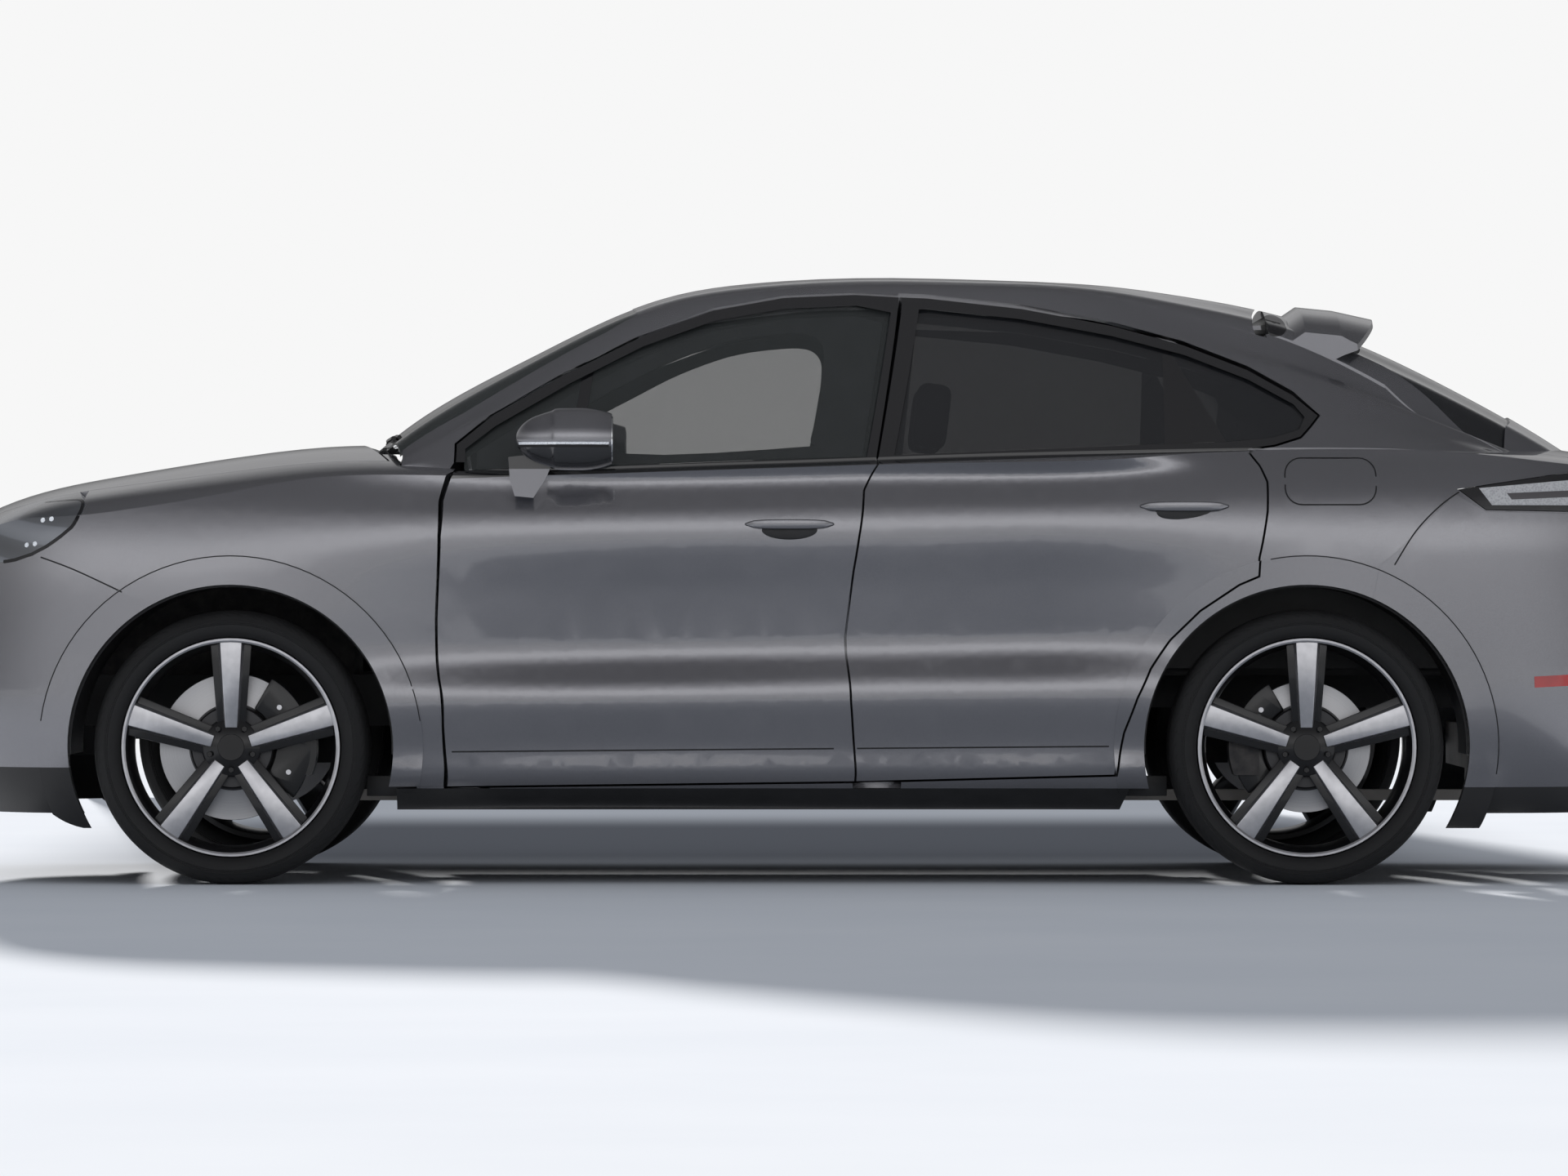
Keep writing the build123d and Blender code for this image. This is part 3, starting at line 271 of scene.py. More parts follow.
def paint(g, belt=False, inside="none", lip=None, hinge=None):
    """Clear-coated metallic paint; gloss black above the belt of a door, dark lining on faces that look inside,
    black plastic below a bumper's lip, given as its height and the half width where it steps up, and round a
    hinge line, given as its x and z, a black uncoated disc of painted shade where the body-coloured hinge eye
    would catch a bright reflection."""
    x, y, z = g.axes()
    colour = flakes(g, colours().paint)
    metal, rough, coat = PAINT_METAL, PAINT_ROUGH, 1.0
    if lip:
        low, half, high = lip
        middle = g.times(g.under(z, high), g.under(g.maths("ABSOLUTE", y), half))
        black = g.maths("MAXIMUM", g.under(z, low), middle)
        colour = g.blend(black, colour, colours().plastic)
        coat = g.minus(1.0, black)
        metal = g.times(coat, PAINT_METAL)
        rough = g.between(black, PAINT_ROUGH, 0.5)
    if belt:
        line = g.line(x, BELT_SLOPE, BELT_START - BELT_SLOPE * (FRONT_AXLE + 0.634))
        above = g.over(g.minus(z, line), 0.0)
        colour = g.blend(above, colour, colours().trim)
        metal = g.between(above, PAINT_METAL, 0.0)
        rough = g.between(above, PAINT_ROUGH, 0.12)
    if hinge:
        # painted shade: a black disc without metal or coat round the hinge line, over the body-coloured hinge eye, so
        # that it shows dark and does not reflect
        gap = g.node("CombineXYZ", X=g.minus(x, hinge[0]), Y=g.minus(z, hinge[1])).outputs[0]
        eye = g.under(g.node("VectorMath", {"operation": "LENGTH"}, Vector=gap).outputs["Value"], HINGE_SHADE_RADIUS)
        colour = g.blend(eye, colour, colours().trim)
        bare = g.minus(1.0, eye)
        metal = g.times(bare, metal)
        coat = g.times(bare, coat)
    if inside != "none":
        n = g.axes("Normal")
        if inside == "side":
            facing = g.times(n[1], g.maths("SIGN", y))
        else:
            facing = n[2]
        inner = g.under(facing, -0.45)
        lining = g.varied(g.noise(60.0), colours().plastic, 0.9, 1.3)
        colour = g.blend(inner, colour, lining)
        outer = g.minus(1.0, inner)
        metal = g.times(outer, metal)
        rough = g.maths("MAXIMUM", rough, g.times(inner, 0.6))
        coat = g.times(outer, coat)
    g.set(Base_Color=colour, Metallic=metal, Roughness=rough, Coat_Weight=coat, Coat_Roughness=0.03, Coat_IOR=1.55)
    g.bumps(g.noise(220.0, 1.0), 0.015, 0.0004)


def gloss_black(g):
    colour = g.varied(g.noise(8.0), colours().trim, 0.8, 1.3)
    g.set(Base_Color=colour, Roughness=0.1, Specular_IOR_Level=0.25, Coat_Weight=0.25, Coat_Roughness=0.03)
    g.bumps(g.noise(180.0, 1.0), 0.01, 0.0004)


def grained_plastic(g):
    colour = g.varied(g.noise(14.0, 4.0), colours().plastic, 0.8, 1.3)
    g.set(Base_Color=colour, Roughness=g.between(g.noise(300.0), 0.42, 0.62))
    g.bumps(g.cells(700.0), 0.25, 0.0006)


def leather(g):
    colour = g.varied(g.noise(9.0, 4.0), colours().leather, 0.8, 1.4)
    g.set(Base_Color=colour, Roughness=g.between(g.noise(35.0), 0.38, 0.55), Specular_IOR_Level=0.45)
    g.bumps(g.cells(420.0), 0.35, 0.0008)


def rubber(g, centre):
    """Tyre rubber: cross cuts on the tread, coloured darker as painted shade in them, and fine rings on the side
    walls, round the wheel's own centre.
    """
    place = g.centred(centre)
    x, y, z = g.node("SeparateXYZ", Vector=place).outputs
    angle = g.maths("ARCTAN2", z, x)
    radius = g.reach(x, z)
    lean = g.times(g.maths("ABSOLUTE", y), 9.0)
    cuts = g.maths("SINE", g.times(g.plus(angle, lean), 64.0))
    cuts = g.times(g.over(cuts, 0.72), g.over(radius, 0.352))
    rings = g.maths("SINE", g.times(radius, 1500.0))
    band = g.times(g.over(radius, 0.330), g.under(radius, 0.340))
    dust = g.noise(18.0, 4.0)
    colour = g.varied(dust, colours().rubber, 0.85, 1.5, 0.8)
    # painted shade: the cross cuts are coloured at 0.3 of the rubber's colour
    g.set(Base_Color=g.blend(cuts, colour, shade(colours().rubber, 0.3)), Roughness=g.between(dust, 0.6, 0.85))
    height = g.minus(g.times(g.times(rings, band), 0.3), cuts)
    g.bumps(g.line(g.noise(500.0), 0.08, height), 0.8, 0.004)


def machined(g, centre):
    """Turned alloy face with fine rings round the hub."""
    radius = g.from_hub(centre)
    rings = g.maths("SINE", g.times(radius, 5200.0))
    colour = g.mottled(g.noise(40.0), (0.42, 0.42, 0.44), (0.5, 0.5, 0.52))
    g.set(Base_Color=colour, Metallic=0.9, Roughness=0.3, Coat_Weight=0.5, Coat_Roughness=0.08)
    g.bumps(rings, 0.05, 0.0002)


def wheel_black(g):
    colour = g.ramp(g.cells(1400.0, "Distance"), (0.2, (0.004, 0.004, 0.0045)), (0.9, (0.009, 0.009, 0.01)))
    g.set(Base_Color=colour, Roughness=0.3, Specular_IOR_Level=0.3, Coat_Weight=0.3, Coat_Roughness=0.04)


def turned_steel(g, centre):
    """Brake disc steel, worn in rings, with a dark hub."""
    radius = g.from_hub(centre)
    rings = g.noise(1.0, 3.0, vector=g.node("CombineXYZ", X=g.times(radius, 900.0)).outputs[0])
    hub = g.under(radius, 0.118)
    face = g.mottled(rings, (0.30, 0.30, 0.31), (0.44, 0.44, 0.45))
    g.set(Base_Color=g.blend(hub, face, (0.05, 0.05, 0.052)), Metallic=0.85, Roughness=g.between(rings, 0.28, 0.45))
    g.bumps(rings, 0.15, 0.0003)


def cast_iron(g):
    colour = g.mottled(g.noise(25.0, 5.0), (0.03, 0.03, 0.032), (0.075, 0.07, 0.068), 0.75)
    g.set(Base_Color=colour, Metallic=0.6, Roughness=g.between(g.noise(60.0), 0.5, 0.75))
    g.bumps(g.noise(240.0, 4.0), 0.3, 0.001)


def underbody(g):
    colour = g.mottled(g.noise(5.0, 5.0), (0.02, 0.02, 0.021), (0.045, 0.045, 0.046), 0.75)
    g.set(Base_Color=colour, Metallic=0.2, Roughness=0.7)
    g.bumps(g.noise(160.0, 4.0), 0.3, 0.001)


def exhaust_steel(g):
    colour = g.mottled(g.noise(6.0, 4.0), (0.22, 0.21, 0.2), (0.36, 0.34, 0.32))
    g.set(Base_Color=colour, Metallic=0.9, Roughness=g.between(g.noise(20.0), 0.35, 0.55))
    g.bumps(g.noise(90.0), 0.1, 0.001)


def glass(g, tint, clear, divider=None):
    """Tinted glass: mostly clear when seen square on, and a mirror when seen along its face."""
    edge = g.node("Fresnel", IOR=1.5).outputs[0]
    solid = g.line(edge, clear, 1.0 - clear)
    colour = g.varied(g.noise(3.0), tint, 0.95, 1.05)
    if divider:
        x, y, z = g.axes()
        (x0, lean0), (x1, lean1) = divider
        start = g.line(z, lean0, x0 - lean0 * BELT_Z)
        end = g.line(z, lean1, x1 - lean1 * BELT_Z)
        band = g.times(g.over(x, start), g.under(x, end))
        solid = g.maths("MAXIMUM", solid, band)
        colour = g.blend(band, colour, colours().trim)
    g.set(Base_Color=colour, Roughness=0.02, IOR=1.5, Alpha=solid, Coat_Weight=1.0, Coat_Roughness=0.01)


def lamp_black(g):
    """The dark inside of a headlamp under its clear cover."""
    x, y, z = g.axes()
    wells = g.maths("SINE", g.line(z, 60.0, g.times(g.maths("ABSOLUTE", y), 22.0)))
    colour = g.ramp(g.between(wells, 0.5, 1.0), (0.0, (0.06, 0.064, 0.072)), (0.45, (0.08, 0.085, 0.095)),
                    (0.6, (0.15, 0.16, 0.18)), (1.0, (0.19, 0.2, 0.22)))
    g.set(Base_Color=colour, Metallic=0.5, Roughness=0.35, Coat_Weight=1.0, Coat_Roughness=0.01)


def bright_lens(g):
    colour = g.ramp(g.cells(260.0), (0.1, (0.55, 0.58, 0.62)), (0.6, (0.85, 0.87, 0.9)))
    g.set(Base_Color=colour, Roughness=0.12, Coat_Weight=1.0, Coat_Roughness=0.02)
    g.bumps(g.cells(260.0), 0.3, 0.001)


def red_lens(g):
    """Red and smoked lamp glass, ribbed inside."""
    x, y, z = g.axes()
    ribs = g.maths("SINE", g.times(y, 500.0))
    colour = g.varied(g.noise(12.0), colours().red, 0.8, 1.2)
    g.set(Base_Color=colour, Roughness=0.1, Coat_Weight=1.0, Coat_Roughness=0.02)
    g.bumps(ribs, 0.1, 0.001)


def shut_line(g):
    """The dark of a gap between panels, also drawn along the foot of the doors as painted shade in a groove."""
    colour = g.mottled(g.noise(50.0), (0.004, 0.004, 0.005), (0.01, 0.01, 0.011))
    g.set(Base_Color=colour, Roughness=0.7)


def mirror_glass(g):
    colour = g.mottled(g.noise(4.0), (0.78, 0.8, 0.82), (0.84, 0.86, 0.88))
    g.set(Base_Color=colour, Metallic=1.0, Roughness=0.02)


def bright_trim(g):
    """Brushed bright metal."""
    brushed = g.noise(1.0, 3.0, vector=g.node("Mapping", Vector=g.place(), Scale=(20.0, 20.0, 900.0)).outputs[0])
    colour = g.mottled(brushed, (0.5, 0.5, 0.52), (0.62, 0.62, 0.64))
    g.set(Base_Color=colour, Metallic=0.95, Roughness=g.between(brushed, 0.18, 0.3))


def blank_plate(g):
    """A number plate without a number: white reflective sheet with a fine bead pattern."""
    beads = g.cells(1500.0)
    colour = g.ramp(beads, (0.1, (0.62, 0.62, 0.62)), (0.7, (0.74, 0.74, 0.73)))
    g.set(Base_Color=colour, Roughness=0.35, Coat_Weight=0.4)
    g.bumps(beads, 0.1, 0.0004)


def honeycomb(g):
    """Black mesh behind the slats: six-sided holes drawn near black as painted shade, between thin webs."""
    x, y, z = g.axes()
    flat = g.node("CombineXYZ", X=y, Y=g.times(z, 1.155)).outputs[0]
    web = g.node("TexVoronoi", {"feature": "DISTANCE_TO_EDGE"}, Vector=flat, Scale=70.0, Randomness=0.0).outputs[0]
    hole = g.over(web, 0.12)
    # painted shade: the holes are coloured near black
    colour = g.blend(hole, shade(colours().plastic, 1.6), (0.002, 0.002, 0.002))
    g.set(Base_Color=colour, Roughness=0.5)
    g.bumps(g.minus(1.0, hole), 0.6, 0.004)


def tail_lamp(g):
    """Black surround, a pale lens with a dark slit through it, and red light behind on the rear face."""
    x, y, z = g.axes()
    rise = g.line(x, 0.09, -0.09 * (REAR_AXLE + 0.6))
    low = g.over(z, 1.021)
    high = g.under(g.minus(z, rise), 1.079)
    slope = g.line(z, -0.75, REAR_AXLE + 0.465 + 0.75 * 1.066)
    lens = g.times(g.times(low, high), g.over(x, slope))
    middle = g.minus(z, g.line(rise, 0.5, 0.0))
    slit = g.times(g.over(middle, 1.038), g.under(middle, 1.056))
    slit = g.times(slit, g.over(x, g.plus(slope, 0.065)))
    ribs = g.cells(180.0)
    pale = g.ramp(ribs, (0.1, (0.3, 0.3, 0.31)), (0.7, (0.46, 0.46, 0.47)))
    inside = g.blend(slit, pale, (0.07, 0.065, 0.068))
    behind = g.over(x, REAR_AXLE + 0.78)
    inside = g.blend(behind, inside, colours().red)
    g.set(Base_Color=g.blend(lens, colours().trim, inside), Roughness=0.12, Coat_Weight=1.0, Coat_Roughness=0.02)
    g.bumps(ribs, 0.1, 0.001)


def lining(g):
    """Moulded door lining: soft dark grey with a fine grain."""
    colour = g.mottled(g.noise(20.0, 3.0), (0.04, 0.04, 0.043), (0.058, 0.058, 0.062))
    g.set(Base_Color=colour, Roughness=g.between(g.noise(90.0), 0.6, 0.8))
    g.bumps(g.cells(500.0), 0.25, 0.0006)


def dress(made, *names):
    for name in names:
        for slot in NODES[name].material_slots:
            slot.material = made


# ---------------------------------------------------------------- mesh helpers
def piece(name, mesh, body, made, smooth=35.0, closed=True):
    """A finished piece from a bmesh, with its finish and material slot, riding on a body."""
    bmesh.ops.remove_doubles(mesh, verts=mesh.verts, dist=1e-6)
    if closed:
        bmesh.ops.recalc_face_normals(mesh, faces=mesh.faces)
    data = bpy.data.meshes.new(name)
    mesh.to_mesh(data)
    mesh.free()
    data.materials.append(made)
    if smooth:
        data.shade_smooth()
        data.set_sharp_from_angle(angle=math.radians(smooth))
    made_object = bpy.data.objects.new(name, data)
    bpy.context.scene.collection.objects.link(made_object)
    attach(made_object, body)
    return made_object


def turned(profile, steps, mesh=None):
    """A ring about the Y axis from a closed profile of (radius, y)."""
    mesh = mesh or bmesh.new()
    verts = [mesh.verts.new((r, w, 0)) for r, w in profile]
    edges = [mesh.edges.new((a, b)) for a, b in zip(verts, verts[1:] + verts[:1])]
    bmesh.ops.spin(mesh, geom=verts + edges, cent=(0, 0, 0), axis=(0, 1, 0), angle=math.tau, steps=steps,
                   use_merge=True)
    return mesh


def rounded(mesh, offset, segments=2, edges=None):
    """Rounds a bmesh's edges."""
    bmesh.ops.bevel(mesh, geom=list(edges or mesh.edges), offset=offset, segments=segments, profile=0.5,
                    affect="EDGES", material=-1)


def slab(mesh, outline, y0, y1, bevel=0.0, segments=2):
    """A plate from a side-view outline (x, z) between two planes of y, with rounded edges."""
    verts = [mesh.verts.new((x, y0, z)) for x, z in outline]
    face = mesh.faces.new(verts)
    out = bmesh.ops.extrude_face_region(mesh, geom=[face])
    moved = [v for v in out["geom"] if isinstance(v, bmesh.types.BMVert)]
    bmesh.ops.translate(mesh, verts=moved, vec=(0, y1 - y0, 0))
    everything = verts + moved
    if bevel:
        rounded(mesh, bevel, segments, {e for v in everything for e in v.link_edges})
    return mesh


def rod(mesh, start, end, radius, segments=12):
    """A round bar between two points."""
    start, end = Vector(start), Vector(end)
    along = end - start
    turn = along.to_track_quat("Z", "Y").to_matrix().to_4x4()
    bmesh.ops.create_cone(mesh, cap_ends=True, segments=segments, radius1=radius, radius2=radius,
                          depth=along.length, matrix=Matrix.Translation((start + end) / 2) @ turn)
    return mesh


def skin_at(nodes, x, z, side):
    """Where a side view's point (x, z) lies on the outermost of some CAD nodes, and the skin's direction there."""
    best = None
    for node in nodes:
        hit, place, normal, _ = NODES[node].ray_cast(Vector((x, side * 1.4, z)), Vector((0, -side, 0)))
        if hit and (best is None or abs(place.y) > abs(best[0].y)):
            best = (place.copy(), normal.copy())
    if best and best[1].y * side < 0:
        best = (best[0], -best[1])
    return best


def skin_ahead(node, y, z, sign):
    """Where a point (y, z) seen from the front (sign -1) or the rear (+1) lies on a CAD node."""
    hit, place, normal, _ = NODES[node].ray_cast(Vector((sign * 3.5, y, z)), Vector((-sign, 0, 0)))
    return (place.copy(), normal.copy() if normal.x * sign > 0 else -normal) if hit else None


def row_ahead(node, y0, y1, z, sign, steps=48):
    """A level row of places on a node's front or rear."""
    return [skin_ahead(node, y0 + (y1 - y0) * k / steps, z, sign) for k in range(steps + 1)]


def smooth_path(points, steps=6, closed=False):
    """A curve through the few points of an outline."""
    spots = [Vector(p) for p in points]
    count, path = len(spots), []
    for k in range(count if closed else count - 1):
        around = [k + i if not closed else (k + i) % count for i in (-1, 0, 1, 2)]
        a, b, c, d = (spots[min(max(i, 0), count - 1)] for i in around)
        for t in (j / steps for j in range(steps)):
            path.append((2 * b + (c - a) * t + (2 * a - 5 * b + 4 * c - d) * t ** 2
                         + (3 * b - a - 3 * c + d) * t ** 3) / 2)
    return path if closed else path + [spots[-1]]


def round_box(x0, x1, z0, z1, corner, steps=5):
    """A rectangle with rounded corners."""
    path = []
    for cx, cz, start in ((x1 - corner, z1 - corner, 0), (x0 + corner, z1 - corner, 90),
                          (x0 + corner, z0 + corner, 180), (x1 - corner, z0 + corner, 270)):
        for k in range(steps + 1):
            turn = math.radians(start + 90 * k / steps)
            path.append(Vector((cx + corner * math.cos(turn), cz + corner * math.sin(turn))))
    return path


def ribbon(mesh, spots, width, closed, lift):
    """A thin strip that lies on the skin along a row of (place, normal)."""
    spots = [spot for spot in spots if spot]
    count = len(spots)
    near, far = [], {}
    for k, (place, normal) in enumerate(spots):
        after = spots[(k + 1) % count][0] if closed or k < count - 1 else place
        before = spots[k - 1][0] if closed or k else place
        across = normal.cross(after - before).normalized() * (width / 2)
        vert = mesh.verts.new(place + normal * lift - across)
        near.append(vert)
        far[k] = place + normal * lift + across
    pairs = list(zip(near, near[1:])) + ([(near[-1], near[0])] if closed else [])
    edges = [mesh.edges.new(pair) for pair in pairs]
    start = {vert.co.copy().freeze(): far[k] for k, vert in enumerate(near)}
    out = bmesh.ops.extrude_edge_only(mesh, edges=edges)["geom"]
    for vert in (item for item in out if isinstance(item, bmesh.types.BMVert)):
        vert.co = start[vert.co.copy().freeze()]
    faces = [item for item in out if isinstance(item, bmesh.types.BMFace)]
    mesh.normal_update()
    if faces and faces[0].normal.dot(spots[0][1]) < 0:
        bmesh.ops.reverse_faces(mesh, faces=faces)
    return mesh


def drawn(name, rows, width, body, made, closed=False, lift=0.0007):
    """Strips drawn on the skin along rows of (place, normal), which keep the way their faces look."""
    mesh = bmesh.new()
    for spots in rows:
        ribbon(mesh, spots, width, closed, lift)
    return piece(name, mesh, body, made, 50.0, False)


# ---------------------------------------------------------------- wheels
def tyre_profile(half, sizes, rim):
    """Half width, radius: a side wall, a rounded shoulder and a tread with its grooves, then the bead."""
    r = AXLE_Z
    right = [(rim + 0.0005, half - 0.022), (rim + 0.006, half - 0.012), (rim + 0.016, half - 0.005),
             (rim + 0.03, half - 0.0005), (rim + 0.042, half), (r - 0.022, half - 0.006), (r - 0.012, half - 0.012),
             (r - 0.005, half - 0.022), (r - 0.0015, half - 0.036), (r - 0.0005, half - 0.05)]
    tread = []
    span = 2 * (half - 0.055)
    for k in range(sizes.grooves):
        middle = (half - 0.055) - span * (k + 0.5) / sizes.grooves
        for offset, drop in ((0.006, 0), (0.0045, sizes.depth), (-0.0045, sizes.depth), (-0.006, 0)):
            tread.append((r - 0.0004 - drop, middle + offset))
    left = [(radius, -w) for radius, w in right[::-1]]
    return right + tread + left


def make_tyre(end, side, sign):
    scene = bpy.context.scene
    centre, half = wheel_place(end, side)
    mesh = turned(tyre_profile(half, scene.vehicle_tyres, scene.vehicle_wheels.rim), scene.vehicle_tyres.steps)
    bmesh.ops.translate(mesh, verts=mesh.verts, vec=centre)
    made = piece(f"tyre_tread_{end}_{side}", mesh, f"{end}_wheel_{side}",
                 finish(rubber, centre, name=f"rubber {end} {side}"), 30.0)
    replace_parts(made, f"tyre_{end}_{side}")


def to_place(mesh, centre, sign):
    """Turns a wheel part made for the left side (outward -Y) to its own side."""
    if sign > 0:
        bmesh.ops.scale(mesh, vec=(1, -1, 1), verts=mesh.verts)
    bmesh.ops.translate(mesh, verts=mesh.verts, vec=centre)


def make_wheel(end, side, sign):
    sizes = bpy.context.scene.vehicle_wheels
    centre, half = wheel_place(end, side)
    rim, edge = sizes.rim, half - 0.022
    body = f"{end}_wheel_{side}"
    face_y, hub_y = -(edge - 0.006), -(edge - 0.024)

    black = turned([(rim - 0.002, edge), (rim - 0.016, edge), (rim - 0.025, edge - 0.02), (rim - 0.03, 0.0),
                    (rim - 0.026, -(edge - 0.05)), (rim - 0.018, -(edge - 0.02)), (rim - 0.013, -(edge - 0.004)),
                    (rim - 0.006, -(edge - 0.001)), (rim - 0.002, -(edge - 0.004)), (rim - 0.001, 0.0)], 96)
    turned([(0.0, hub_y - 0.004), (0.03, hub_y - 0.006), (0.042, hub_y), (0.072, hub_y + 0.006),
            (0.08, hub_y + 0.014), (0.08, hub_y + 0.04), (0.0, hub_y + 0.04)], 60, black)
    face = turned([(rim - 0.0135, -(edge - 0.003)), (rim - 0.009, -(edge + 0.0004)), (rim - 0.0035, -(edge + 0.0004)),
                   (rim - 0.002, -(edge - 0.002))], 96)
    root, tip = 0.045, rim - 0.012
    for k in range(sizes.spokes):
        turn = Matrix.Rotation(math.tau * k / sizes.spokes, 4, "Y")
        for target, start, hub, end_width, depths, split, widen, edge_round in (
                (black, root, sizes.face_hub / 2 + sizes.flank * 0.8, sizes.face_tip / 2 + sizes.flank,
                 (0.012, 0.045), 0.03, 0.8, 0.004),
                (face, root + 0.008, sizes.face_hub / 2, sizes.face_tip / 2, (0.0, 0.016), 0.008, 1.35, 0.0015)):
            spoke = bmesh.new()
            slab(spoke, [(-hub, start), (hub, start), (end_width, tip), (-end_width, tip)], *depths)
            for v in spoke.verts:
                if v.co.y > split:
                    v.co.x *= widen
                v.co.y += hub_y + (face_y - hub_y) * (v.co.z - root) / (tip - root)
            rounded(spoke, edge_round)
            bmesh.ops.transform(spoke, matrix=turn, verts=spoke.verts)
            add_mesh(target, spoke)
    to_place(black, centre, sign)
    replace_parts(piece(f"wheel_{end}_{side}", black, body, finish(wheel_black)), f"rim_{end}_{side}")
    to_place(face, centre, sign)
    piece(f"wheel_face_{end}_{side}", face, body, finish(machined, centre, name=f"machined {end}"))

    small = bmesh.new()
    for k in range(sizes.spokes):
        angle = math.tau * (k + 0.5) / sizes.spokes
        spot = Vector((0.061 * math.sin(angle), 0, 0.061 * math.cos(angle)))
        rod(small, spot + Vector((0, hub_y + 0.012, 0)), spot + Vector((0, hub_y - 0.004, 0)), 0.0085, 6)
    rod(small, (0, hub_y, 0), (0, hub_y - 0.009, 0), 0.036, 40)
    rounded(small, 0.001, 1)
    to_place(small, centre, sign)
    piece(f"wheel_bolts_{end}_{side}", small, body, finish(gloss_black))

    radius = 0.198 if end == "front" else 0.177
    hat = -(edge - 0.0625)
    disc = turned([(0.05, hat), (0.108, hat), (0.112, hat + 0.004), (0.112, hat + 0.032), (0.118, hat + 0.0345),
                   (radius - 0.001, hat + 0.0345), (radius, hat + 0.0355), (radius, hat + 0.0585),
                   (radius - 0.001, hat + 0.0595), (0.118, hat + 0.0595), (0.05, hat + 0.0595)], 72)
    to_place(disc, centre, sign)
    piece(f"brake_disc_{end}_{side}", disc, body, finish(turned_steel, centre, name=f"turned steel {end}"))


def make_caliper(end, side, sign):
    """A black caliper across the disc's edge, with two bright bolts."""
    centre = wheel_place(end, side)[0]
    middle, low, high = (10.0, 0.119, 0.214) if end == "front" else (170.0, 0.115, 0.197)
    body = f"front_hub_{side}" if end == "front" else "body"
    turns = [math.radians(middle + 50 * k / 14) for k in range(-14, 15)]
    outline = [(high * math.cos(t), high * math.sin(t)) for t in turns]
    outline += [(low * math.cos(t), low * math.sin(t)) for t in turns[::-1]]
    mesh = slab(bmesh.new(), outline, -0.0552, -0.026, 0.004)
    to_place(mesh, centre, sign)
    piece(f"caliper_{end}_{side}", mesh, body, finish(wheel_black, name="caliper black"))
    bolts = bmesh.new()
    for turn in (-34, 30):
        t = math.radians(middle + (turn if end == "front" else -turn))
        spot = Vector(((low + high) / 2 * math.cos(t), 0, (low + high) / 2 * math.sin(t)))
        rod(bolts, spot + Vector((0, -0.05, 0)), spot + Vector((0, -0.0572, 0)), 0.008, 16)
    rounded(bolts, 0.001, 1)
    to_place(bolts, centre, sign)
    piece(f"caliper_bolts_{end}_{side}", bolts, body, finish(bright_trim))


def add_mesh(target, extra):
    """Moves one bmesh into another."""
    data = bpy.data.meshes.new("part")
    extra.to_mesh(data)
    extra.free()
    target.from_mesh(data)
    bpy.data.meshes.remove(data)


# ---------------------------------------------------------------- side trim
def make_handle(end, side, sign):
    """A body-coloured bar over a dark bowl."""
    x, z = (-0.029, 0.966) if end == "front" else (1.033, 1.014)
    length = bpy.context.scene.vehicle_trim.handle
    nodes = [f"door_{end}_{side}"]
    bowl = bmesh.new()
    bmesh.ops.create_uvsphere(bowl, u_segments=32, v_segments=16, radius=1.0)
    at, normal = skin_at(nodes, x, z - 0.012, sign)
    bmesh.ops.scale(bowl, vec=(0.075, 0.004, 0.026), verts=bowl.verts)
    bmesh.ops.translate(bowl, vec=(at.x, at.y + sign * 0.0005, at.z), verts=bowl.verts)
    piece(f"handle_bowl_{end}_{side}", bowl, f"{end}_door_{side}", finish(grained_plastic))
    bar = bmesh.new()
    bmesh.ops.create_cube(bar, size=1.0)
    bmesh.ops.subdivide_edges(bar, edges=[e for e in bar.edges if abs((e.verts[0].co - e.verts[1].co).x) > 0.5],
                              cuts=9, use_grid_fill=True)
    for v in bar.verts:
        t = v.co.x * 2
        slim = math.sqrt(max(0.0, 1 - abs(t) ** 3.2)) * 0.8 + 0.2
        px, pz = x + t * length / 2, z + v.co.z * 0.026 * slim
        at, normal = skin_at(nodes, px, z + 0.004, sign)
        arch = 0.02 * (1 - t ** 4) + 0.001
        out = at.y + sign * (arch if v.co.y * sign > 0 else max(arch - 0.014, 0.0))
        v.co = Vector((px, out, pz + 0.004))
    rounded(bar, 0.003)
    piece(f"handle_{end}_{side}", bar, f"{end}_door_{side}", finish(paint), 50.0)


def door_points(end, side, x0, x1, z0, z1, steps=40):
    nodes = [f"door_{end}_{side}"]
    rows = [(x0 + (x1 - x0) * k / steps, z0 + (z1 - z0) * k / steps) for k in range(steps + 1)]
    return [skin_at(nodes, x, z, -1 if side == "left" else 1) for x, z in rows]


def make_lines(side, sign):
    """Dark lines drawn on the skin: the filler flap's shut line, and painted shade along the groove at the foot of the
    doors.
    """
    line = bpy.context.scene.vehicle_trim.line
    dark = finish(shut_line)
    corner = round_box(REAR_AXLE - 0.057, REAR_AXLE + 0.188, 1.022, 1.149, 0.045, 6)
    flap = [skin_at([f"body_side_{side}"], *spot, sign) for spot in corner]
    drawn(f"filler_flap_{side}", [flap], line, "body", dark, True)
    # painted shade: a dark line along the groove at the foot of each door
    for end, x0, x1 in (("front", -1.085, 0.09), ("rear", 0.135, 0.83)):
        heights = [0.356 + 0.0082 * (x + 1.09) for x in (x0, x1)]
        drawn(f"door_strip_{end}_{side}", [door_points(end, side, x0, x1, *heights)], line, f"{end}_door_{side}",
              dark)


